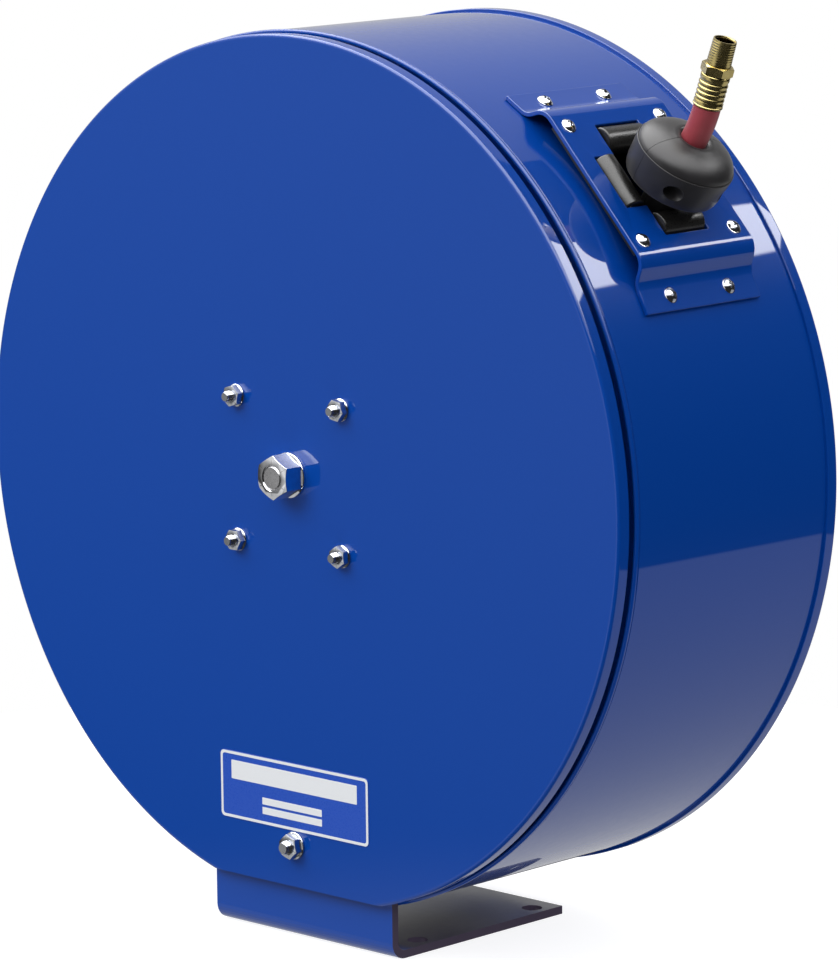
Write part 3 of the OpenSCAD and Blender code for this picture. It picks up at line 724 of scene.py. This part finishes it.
def rounded(width, height, corner, steps=8):
    """Corners of a rounded rectangle round the origin."""
    x, y = width / 2 - corner, height / 2 - corner
    return (arc(x, y, corner, 0, 90, steps) + arc(-x, y, corner, 90, 180, steps)
            + arc(-x, -y, corner, 180, 270, steps) + arc(x, -y, corner, 270, 360, steps))


def slab(bm, outline, low, high, round_off=0.06 * MM):
    """A thin plate of this outline with softened top edges."""
    inset = [tuple(c * (1 - round_off / max(abs(c), MM)) for c in corner) for corner in outline]
    rings = [[bm.verts.new((x, y, low)) for x, y in outline],
             [bm.verts.new((x, y, high - round_off)) for x, y in outline],
             [bm.verts.new((x, y, high)) for x, y in inset]]
    join_rings(bm, rings)
    bm.faces.new(list(reversed(rings[0])))
    bm.faces.new(rings[-1])


def frame_ring(bm, outer, inner, low, high):
    """A flat border between two outlines of equal count."""
    rings = [[bm.verts.new((x, y, z)) for x, y in line] for line, z in
             ((outer, low), (outer, high), (inner, high), (inner, low))]
    join_rings(bm, rings, closed=True)


def name_plate():
    low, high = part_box("name_plate")
    width, height = high.x - low.x, high.z - low.z
    place = to_front(0) @ shift(0, (low.z + high.z) / 2 - AXLE_Z, 0)
    body, top = 0.36 * MM, 0.44 * MM
    bm = bmesh.new()
    slab(bm, rounded(width, height, 3 * MM), 0, body)
    piece("plate_body", bm, "reel_frame", LABEL_BLUE, place, sharp=30, replaces=["name_plate"])
    bm = bmesh.new()
    edge = 0.3 * MM
    line = edge + 1.6 * MM
    frame_ring(bm, rounded(width - 2 * edge, height - 2 * edge, 2.6 * MM),
               rounded(width - 2 * line, height - 2 * line, 1.7 * MM), body - 0.02 * MM, top)
    piece("plate_border", bm, "reel_frame", LABEL_SILVER, place, sharp=30)
    bm = bmesh.new()
    for wide, tall, x, y in ((101, 11, 0, 9), (48, 4.1, -1.5, -6), (48, 4.1, -1.5, -11.6)):
        before = set(bm.verts)
        slab(bm, rounded(wide * MM, tall * MM, 0.3 * MM, 2), body - 0.02 * MM, top)
        bmesh.ops.translate(bm, verts=[v for v in bm.verts if v not in before], vec=(x * MM, y * MM, 0))
    piece("plate_fields", bm, "reel_frame", LABEL_SILVER, place, sharp=30)


# ------------------------ nuts and bolts on the face

BOLT_HALF = 41.5 * MM


def nut_and_tip(name, bolt_node, nut_node, places, radius, pitch, tip, flats, height, flange, spin):
    """Flange nuts with the threaded bolt tips that stand out of them."""
    nuts, tips = bmesh.new(), bmesh.new()
    for index, place in enumerate(places):
        hex_prism(nuts, flats, 0, height, radius * 0.985, flange=flange,
                  matrix=place @ turn(spin + 17 * index, "Z"))
        before = set(tips.verts)
        rings = thread(tips, radius, pitch, tip, pitch * 0.42, lead=0.8)
        raised_cap(tips, rings[-1], 0.25 * MM, 0.9)
        tips.faces.new(list(reversed(rings[0])))
        new = [v for v in tips.verts if v not in before]
        bmesh.ops.transform(tips, matrix=place @ turn(61 * index, "Z"), verts=new)
    piece(name + "_flange_nuts", nuts, "reel_frame", ZINC, sharp=25, replaces=[nut_node])
    piece(name + "_threaded_tips", tips, "reel_frame", ZINC, sharp=30, replaces=[bolt_node])


def face_fasteners():
    """The nuts and bolt tips. A flange is its radius, its edge's height and where the hexagon starts."""
    sides = (-BOLT_HALF, BOLT_HALF)
    corners = [to_front(0) @ shift(x, z, 0) for x in sides for z in sides]
    nut_and_tip("cover", "cover_bolts", "cover_nuts", corners, radius=3.17 * MM, pitch=1.27 * MM,
                tip=9.4 * MM, flats=11.1 * MM, height=5.2 * MM, flange=(6.5 * MM, 1 * MM, 1.2 * MM), spin=30)
    low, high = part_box("base_nut")
    drop = (low.z + high.z) / 2 - AXLE_Z
    nut_and_tip("base", "base_bolt", "base_nut", [to_front(0) @ shift(0, drop, 0)], radius=3.97 * MM,
                pitch=1.41 * MM, tip=9.7 * MM, flats=12.7 * MM, height=6.2 * MM,
                flange=(8 * MM, 1.3 * MM, 1.5 * MM), spin=12)
    bm = bmesh.new()
    hex_prism(bm, 22.2 * MM, 0, 13.9 * MM, 7.1 * MM, flange=(13 * MM, 1.5 * MM, 2.2 * MM), segments=192,
              matrix=to_front(0))
    piece("axle_flange_nut", bm, "reel_frame", BRIGHT_ZINC, sharp=25, replaces=["axle_nut"])


# ------------------------ cross-head screws


def pan_head(radius, height, shank, length):
    """One pan head screw as a mesh: a domed head with a cross recess, and a plain shank."""
    dome = (radius * radius + height * height) / (2 * height)
    reach = math.degrees(math.asin((radius - 0.25 * MM) / dome))
    top = arc(0, height - dome, dome, 90, 90 - reach, 10)
    profile = [(0, -length), (shank - 0.4 * MM, -length), (shank, -length + 0.5 * MM), (shank, 0)]
    profile += [(radius - 0.3 * MM, 0), (radius, 0.25 * MM), (radius, top[-1][1] * 0.8)] + list(reversed(top))
    bm = bmesh.new()
    revolve(bm, profile, 64)
    # The recess: the height, half length and half width of an arm, at its bottom and over the head
    deep_end = (height * 0.28, radius * 0.30, radius * 0.085)
    wide_end = (height + MM, radius * 0.66, radius * 0.16)
    square = ((-1, -1), (1, -1), (1, 1), (-1, 1))
    cuts = []
    for angle in (0, 90):
        arm = bmesh.new()
        corners = []
        for z, long, wide in (deep_end, wide_end):
            corners.append([arm.verts.new((x * long, y * wide, z)) for x, y in square])
        join_rings(arm, corners)
        arm.faces.new(list(reversed(corners[0])))
        arm.faces.new(corners[1])
        bmesh.ops.transform(arm, matrix=turn(angle, "Z"), verts=arm.verts)
        cuts.append(arm)
    return cut_mesh(bm, cuts)


def screws(name, node, body, places, size):
    """A screw at every place, each turned its own way."""
    mesh = pan_head(*size)
    bm = bmesh.new()
    for index, place in enumerate(places):
        copy = mesh.copy()
        copy.transform(place @ turn(37 * index + 20, "Z"))
        bm.from_mesh(copy)
        bpy.data.meshes.remove(copy)
    piece(name, bm, body, ZINC, sharp=30, replaces=[node])


def all_screws():
    """The pan head screws. A size is the head's radius and height, then the shank's radius and length."""
    plate = [outward(PLATE_V, y, u) for y, u in TOP_SCREWS]
    screws("carrier_cross_heads", "carrier_screws", "reel_frame", plate,
           (4.6 * MM, 2.8 * MM, 2 * MM, 7 * MM))
    a = math.radians(FLANGE_TURN)
    v, u = FLANGE_V * math.cos(a), FLANGE_V * math.sin(a)
    flange = [outward(v, y, side * u, side * FLANGE_TURN) for side in (-1, 1) for y in (-24 * MM, 24 * MM)]
    screws("flange_cross_heads", "bracket_screws", "reel_frame", flange,
           (4.6 * MM, 2.8 * MM, 2.4 * MM, 8 * MM))
    rear = around(8, WALL_R - 8 * MM, 22.5, DEPTH)
    screws("rear_cross_heads", "rear_cover_screws", "reel_frame", rear,
           (4.2 * MM, 2.6 * MM, 2 * MM, 8 * MM))
    seats = [STOP @ shift(SEAT_X, y, STOP_H / 2) @ turn(90, "Y") for y in SEAT_YS]
    screws("stop_cross_heads", "hose_stop_screws", "hose_tail", seats,
           (3.9 * MM, 3 * MM, 2.1 * MM, 24 * MM))


# ------------------------ rollers


def rollers():
    """The four rollers, each a tube with rounded ends about its own pin."""
    r, half = ROLLER_R, ROLLER_L / 2
    bore, edge = 2.05 * MM, 1 * MM
    profile = [(bore, -half), (r - edge, -half)] + arc(r - edge, -half + edge, edge, -90, 0, 5)
    profile += [(r, -half * 0.5), (r, half * 0.5)] + arc(r - edge, half - edge, edge, 0, 90, 5)
    profile += [(bore, half)]
    for name in ("upper", "lower", "front", "rear"):
        spin = joint(name + "_roller_spin")
        axis = Vector(spin["axis"]).normalized()
        bm = bmesh.new()
        place = basis(Vector(spin["pos_m"]), OUT_AXIS, axis.cross(OUT_AXIS), axis)
        revolve(bm, profile, 72, place, closed=True)
        piece("roller_" + name + "_barrel", bm, name + "_roller", BLACK, sharp=35,
              replaces=["roller_" + name])


# ------------------------ hose stop


def stop_profile():
    """The stop from its bore up the outside and over the dome back to the bore."""
    r = STOP_R
    sleeve = [(HOSE_R, -16 * MM), (9.6 * MM, -16 * MM), (10 * MM, -15.4 * MM), (10.5 * MM, -7 * MM)]
    bottom = [(14 * MM, -5.2 * MM), (17 * MM, 0), (r - 5.5 * MM, 0)]
    bottom += arc(r - 4.6 * MM, 3 * MM, 3 * MM, -75, -12, 6)
    side = [(r - 0.9 * MM, 6 * MM), (r - 0.45 * MM, 13 * MM), (r, STOP_H - 0.8 * MM), (r, STOP_H - 0.2 * MM)]
    side += [(r - 0.2 * MM, STOP_H), (r - 0.75 * MM, STOP_H)]
    dome = []
    for degrees in (3, 8, 14, 21, 28, 36, 44, 52, 60, 66):
        a = math.radians(degrees)
        dome.append(((r - 0.75 * MM) * math.cos(a) ** 0.92, STOP_H + DOME_H * math.sin(a) ** 1.05))
    dip = [(11 * MM, 0.945), (9.6 * MM, 0.925), (8.6 * MM, 0.885), (HOSE_R + 0.35 * MM, 0.84), (HOSE_R, 0.81)]
    return sleeve + bottom + side + dome + [(radius, STOP_H + DOME_H * part) for radius, part in dip]


def hose_stop():
    """Two rubber halves with a fine gap between them, clamped round the hose by two sunk screws."""
    far = 2 * STOP_R
    gap = 0.12 * MM
    drill = [(0, -far), (2.1 * MM, -far), (2.1 * MM, 0), (4.3 * MM, 0), (4.5 * MM, 8.5 * MM)]
    drill += [(5.1 * MM, far * 0.4), (0, far * 0.4)]
    for name, (start, end) in (("outer", (-far, gap)), ("inner", (-gap, far))):
        bm = bmesh.new()
        revolve(bm, stop_profile(), 180, STOP, closed=True)
        cuts = [box_mesh((start, -far, -far), (end, far, far), STOP)]
        for y in SEAT_YS:
            hole = bmesh.new()
            revolve(hole, drill, 48, STOP @ shift(SEAT_X, y, STOP_H / 2) @ turn(90, "Y"))
            cuts.append(hole)
        piece("stop_" + name + "_moulding", bm, "hose_tail", STOP_RUBBER, sharp=34,
              replaces=["hose_stop_" + name + "_half"], cuts=cuts)


# ------------------------ hose and fitting


def hose_path():
    """Centre and frame of the hose from inside the drum to the ferrule, as matrices."""
    steps = 40
    places = [PULL @ shift(z=-HOSE_INSIDE + (HOSE_INSIDE + BEND_START) * k / steps) for k in range(steps)]
    for k in range(13):
        bent = turn(-math.degrees(BEND) * k / 12, "Y")
        places.append(PULL @ shift(-BEND_R, 0, BEND_START) @ bent @ shift(BEND_R, 0, 0))
    inside = TIP @ Matrix.Diagonal((SQUEEZE, SQUEEZE, 1, 1))
    return places + [inside @ shift(z=(FERRULE_L - 2 * MM) * k / 4) for k in range(5)]


def tube(bm, places, radius, bore, segments=48):
    """A hollow tube through a list of places."""
    circle = [(math.cos(TAU * k / segments), math.sin(TAU * k / segments)) for k in range(segments)]
    outer = [[bm.verts.new(m @ Vector((radius * c, radius * s, 0))) for c, s in circle] for m in places]
    inner = [[bm.verts.new(m @ Vector((bore * c, bore * s, 0))) for c, s in circle] for m in places]
    join_rings(bm, outer + list(reversed(inner)), closed=True)


def hose_end():
    bm = bmesh.new()
    tube(bm, hose_path(), HOSE_R, HOSE_BORE_R)
    piece("hose_cover", bm, "hose_tail", HOSE_RUBBER, sharp=40, replaces=["hose_end"])


def ferrule():
    """A brass ferrule crimped in rings, with a lip at the hose and a plain collar at the hexagon."""
    r = HOSE_R
    inside = 5.6 * MM
    profile = [(r - 0.28 * MM, 0.3 * MM), (r + 0.25 * MM, 0.3 * MM)]
    profile += arc(r + 0.15 * MM, 1.1 * MM, 0.6 * MM, -60, 60, 6)
    profile += [(r + 0.5 * MM, 2.2 * MM), (r + 0.62 * MM, 3.2 * MM), (r + 0.1 * MM, 3.9 * MM)]
    for k in range(4):
        profile += arc(r - 0.85 * MM, (5.3 + 2.75 * k) * MM, 1.4 * MM, -50, 50, 8)
    profile += [(r + 0.1 * MM, 15.4 * MM), (r + 0.4 * MM, 16.1 * MM), (r + 0.5 * MM, 16.9 * MM)]
    profile += [(r + 0.5 * MM, 18.3 * MM), (r + 0.2 * MM, 18.8 * MM), (r - 0.6 * MM, FERRULE_L)]
    profile += [(inside, FERRULE_L), (inside, FERRULE_L - 1.8 * MM), (r - 0.28 * MM, FERRULE_L - 1.8 * MM)]
    bm = bmesh.new()
    revolve(bm, profile, 96, TIP, closed=True)
    piece("ferrule_crimped", bm, "hose_tail", BRASS, sharp=50, replaces=["hose_ferrule"])


def fitting():
    """The hexagon and the tapered pipe thread, bored right through, and the barb inside the hose."""
    low = FERRULE_L
    bm = bmesh.new()
    hex_prism(bm, HEX_FLATS, low, low + HEX_L, 3.5 * MM, chamfer_low=True, segments=144)
    bmesh.ops.transform(bm, matrix=TIP, verts=bm.verts)
    piece("fitting_hexagon", bm, "hose_tail", BRASS, sharp=22, replaces=["hose_fitting"])
    bm = bmesh.new()
    bottom = low + HEX_L - 0.2 * MM
    length = NPT_L + 0.2 * MM
    pitch = 1.411 * MM
    count = 96
    rings = thread(bm, NPT_R, pitch, length, 0.24 * MM, taper=1 / 64, segments=count, per_pitch=10,
                   lead=0.5, runout=6)
    bore = [(5.8 * MM, length), (5.4 * MM, length - 0.6 * MM), (5.3 * MM, length - 9 * MM)]
    bore += [(3.5 * MM, length - 10.3 * MM), (3.5 * MM, -2 * MM), (5.6 * MM, -2 * MM), (5.6 * MM, 0)]
    circle = [(math.cos(TAU * k / count), math.sin(TAU * k / count)) for k in range(count)]
    inside = [[bm.verts.new((r * c, r * s, h)) for c, s in circle] for r, h in bore]
    join_rings(bm, [rings[-1]] + inside + [rings[0]])
    piece("fitting_pipe_thread", bm, "hose_tail", BRASS, TIP @ shift(z=bottom), sharp=40)
    bm = bmesh.new()
    # The bore's dark lining, a near-black brass sheet of painted shade: its radius and its height over the
    # end of the thread, in mm
    shade_lining = [(5.35, -0.7), (5.25, -0.7), (5.25, -9), (3.45, -10.2), (3.45, -18)]
    shade_lining += [(3.35, -18), (3.35, -10), (5.0, -8.8), (5.15, -0.8)]
    revolve(bm, [(r * MM, length + h * MM) for r, h in shade_lining], count, TIP @ shift(z=bottom), closed=True)
    piece("fitting_bore_shade", bm, "hose_tail", BORE_SHADE_BRASS, sharp=40)
    bm = bmesh.new()
    barb = [(3.5 * MM, 2 * MM), (4.0 * MM, 2 * MM)]
    for k in range(5):
        barb += [(HOSE_BORE_R - 0.1 * MM, (4 + 2.6 * k) * MM), (HOSE_BORE_R - 0.5 * MM, (4.2 + 2.6 * k) * MM)]
    barb += [(HOSE_BORE_R - 0.1 * MM, 16.5 * MM), (HOSE_BORE_R - 0.1 * MM, FERRULE_L), (3.5 * MM, FERRULE_L)]
    revolve(bm, barb, 48, TIP, closed=True)
    piece("fitting_barb", bm, "hose_tail", BRASS, sharp=40)


# ------------------------ hose on the spool, and the swivel's seal


def hose_coil():
    """Every layer is one helix, laid in the valleys of the layer under it."""
    low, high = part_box("hose_coil")
    outer = (high.x - low.x) / 2
    wraps, layers = 7, 4
    first = low.y - COVER_LOW.y + HOSE_R
    last = high.y - COVER_LOW.y - HOSE_R
    inner = outer - HOSE_R
    step = 13.88 * MM
    pitch = (last - first) / (wraps - 1)
    bm = bmesh.new()
    per_turn = 72
    for layer in range(layers):
        radius = inner - (layers - 1 - layer) * step
        turns = (wraps - 1 - layer % 2) if layer < layers - 1 else 1
        start = first + (layer % 2) * pitch / 2
        places = []
        for k in range(int(turns * per_turn) + 1):
            a = k / per_turn
            places.append(REEL @ turn(360 * a, "Y") @ shift(radius, start + pitch * a, 0))
        tube(bm, places, HOSE_R - 0.25 * MM, HOSE_BORE_R, 16)
    piece("hose_wraps", bm, "spool", HOSE_RUBBER, sharp=60, replaces=["hose_coil"])


def swivel_seal():
    """A rubber ring, a little flattened between the rotor and the body."""
    low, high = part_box("swivel_seal")
    tube_r = (high.y - low.y) / 2
    middle = (high.x - low.x) / 2 - tube_r
    profile = []
    for k in range(16):
        a = TAU * k / 16
        flat = 0.97 + 0.03 * (k % 2)
        profile.append((middle + tube_r * math.cos(a), tube_r * math.sin(a) * flat))
    bm = bmesh.new()
    revolve(bm, profile, 96, to_rear((low.y + high.y) / 2 - COVER_LOW.y), closed=True)
    piece("seal_ring", bm, "spool", SEAL, sharp=60, replaces=["swivel_seal"])


drum()
sheet_metal()
guide_bracket()
name_plate()
face_fasteners()
all_screws()
rollers()
hose_stop()
hose_end()
ferrule()
fitting()
hose_coil()
swivel_seal()

# ------------------------ studio


class World:
    """The studio's light by direction, written as small steps and products."""

    def __init__(self):
        self.world = bpy.data.worlds.new("studio")
        self.world.use_nodes = True
        self.tree = self.world.node_tree
        self.tree.nodes.clear()
        split = self.tree.nodes.new("ShaderNodeSeparateXYZ")
        self.tree.links.new(self.tree.nodes.new("ShaderNodeTexCoord").outputs["Generated"], split.inputs[0])
        self.x, self.y, self.z = split.outputs

    def math(self, kind, a, b):
        node = self.tree.nodes.new("ShaderNodeMath")
        node.operation = kind
        for socket, value in zip(node.inputs, (a, b)):
            if isinstance(value, bpy.types.NodeSocket):
                self.tree.links.new(value, socket)
            else:
                socket.default_value = value
        return node.outputs[0]

    def times(self, *values):
        total = values[0]
        for value in values[1:]:
            total = self.math("MULTIPLY", total, value)
        return total

    def plus(self, *values):
        total = values[0]
        for value in values[1:]:
            total = self.math("ADD", total, value)
        return total

    def over(self, value, edge, width=0.01):
        """0 where value is below edge, 1 where it is above edge + width."""
        node = self.tree.nodes.new("ShaderNodeMapRange")
        node.interpolation_type = "SMOOTHSTEP"
        self.tree.links.new(value, node.inputs["Value"])
        node.inputs["From Min"].default_value = edge
        node.inputs["From Max"].default_value = edge + width
        return node.outputs["Result"]

    def under(self, value, edge, width=0.01):
        return self.math("SUBTRACT", 1.0, self.over(value, edge - width, width))

    def light(self, strength):
        node = self.tree.nodes.new("ShaderNodeBackground")
        node.inputs["Color"].default_value = rgba(1, 1, 1)
        if isinstance(strength, bpy.types.NodeSocket):
            self.tree.links.new(strength, node.inputs["Strength"])
        else:
            node.inputs["Strength"].default_value = strength
        return node.outputs[0]

    def switch(self, ray, first, second):
        """The second light for this kind of ray, the first for all the others."""
        node = self.tree.nodes.new("ShaderNodeMixShader")
        kinds = self.tree.nodes.new("ShaderNodeLightPath").outputs
        for socket, value in zip(node.inputs, (kinds[ray], first, second)):
            self.tree.links.new(value, socket)
        return node.outputs[0]


def world():
    """White for the camera, a soft dome for the light, and the studio's cards for the reflections."""
    w = World()
    x, y, z = w.x, w.y, w.z
    left = w.math("MAXIMUM", w.under(y, -0.05, 0.45), w.under(x, 0.0, 0.5))
    side = w.times(w.over(z, 0.1, 0.05), w.under(z, 0.46), w.over(x, 0.0, 0.3))
    soft = w.plus(0.02, w.times(left, 0.30), w.times(side, 0.45), w.times(w.over(z, 0.455), 1.6),
                  w.times(w.under(z, -0.5, 0.2), w.over(x, -0.3, 0.3), 1.15))
    back, front = w.over(y, 0.40, 0.04), w.under(y, 0.44, 0.04)
    slope = w.plus(1.96, w.times(x, 1.91), w.times(z, 2.25))
    sheet = w.times(w.math("MINIMUM", w.math("MAXIMUM", slope, 0.04), 0.8), w.under(x, 0.2, 0.4))
    dome = w.plus(w.times(front, w.over(z, 0.455), 2.2), w.times(front, w.over(z, 0.6, 0.05), 4.0))
    window = w.times(back, w.over(x, 0.27), w.over(z, 0.494), w.under(z, 0.66, 0.02), 10.0)
    wall = w.times(back, w.over(z, -0.185, 0.02), w.under(x, 0.03), 0.52)
    table = w.times(back, w.under(z, -0.31), 0.54)
    near = w.times(front, w.under(z, -0.235, 0.03), w.under(x, -0.3, 0.1), 0.5)
    cards = w.plus(w.times(front, sheet), dome, window, wall, table, near, 0.02)
    surface = w.switch("Is Glossy Ray", w.light(soft), w.light(cards))
    surface = w.switch("Is Camera Ray", surface, w.light(1.0))
    w.tree.links.new(surface, w.tree.nodes.new("ShaderNodeOutputWorld").inputs["Surface"])
    bpy.context.scene.world = w.world


def key_light():
    """A large soft box in front, above and to the left; it fades down the face."""
    data = bpy.data.lights.new("soft_box", "AREA")
    data.shape = "SQUARE"
    data.size = 1.0
    data.energy = 17
    obj = bpy.data.objects.new("soft_box", data)
    place = Vector((-0.6, -1.4, 1.3))
    obj.matrix_world = (REEL.translation - place).to_track_quat("-Z", "Y").to_matrix().to_4x4()
    obj.matrix_world.translation = place
    obj.visible_glossy = False
    bpy.context.scene.collection.objects.link(obj)


def floor():
    """A round pale table just under the foot."""
    bm = bmesh.new()
    revolve(bm, [(0, 0), (0.62, 0), (0.625, -0.002)], 128)
    mesh = bpy.data.meshes.new("floor")
    bm.to_mesh(mesh)
    bm.free()
    obj = bpy.data.objects.new("floor", mesh)
    obj.location = (0, 0, CAD_BOX[0][2] - 0.0002)
    bpy.context.scene.collection.objects.link(obj)
    m = Nodes("pale_floor")
    tone = m.mix(m.ramp(m.noise(3.0, 2.0), 0.0, 0.3), rgba(0.30, 0.30, 0.30), rgba(0.27, 0.27, 0.27))
    m.set(Base_Color=tone, Roughness=0.7, Specular_IOR_Level=0.0,
          Emission_Color=rgba(1, 1, 1), Emission_Strength=0.86)
    m.material.cycles.emission_sampling = "NONE"
    mesh.materials.append(m.material)
    obj.visible_glossy = False
    obj.visible_diffuse = False
    obj.visible_shadow = False


VIEW_AZIMUTH = 43.92
VIEW_ELEVATION = 9.85
VIEW_ROLL = -0.635
VIEW_DISTANCE = 2.857
LENS = 194.4


def camera():
    """The camera looks from the right of the face and a little above the axle."""
    az, el = math.radians(VIEW_AZIMUTH), math.radians(VIEW_ELEVATION)
    forward = Vector((-math.sin(az) * math.cos(el), math.cos(az) * math.cos(el), -math.sin(el)))
    target = REEL.translation + Vector((0.0955, 0.0066, 0.0071))
    data = bpy.data.cameras.new("view")
    data.lens = LENS
    data.sensor_width = 36
    data.clip_end = 50
    obj = bpy.data.objects.new("view", data)
    side = forward.cross(Z).normalized()
    up = side.cross(forward)
    m = basis(target - forward * VIEW_DISTANCE, side, up, -forward)
    obj.matrix_world = m @ turn(VIEW_ROLL, "Z")
    bpy.context.scene.collection.objects.link(obj)
    bpy.context.scene.camera = obj


world()
key_light()
floor()
camera()
bpy.context.scene.view_settings.view_transform = "Standard"
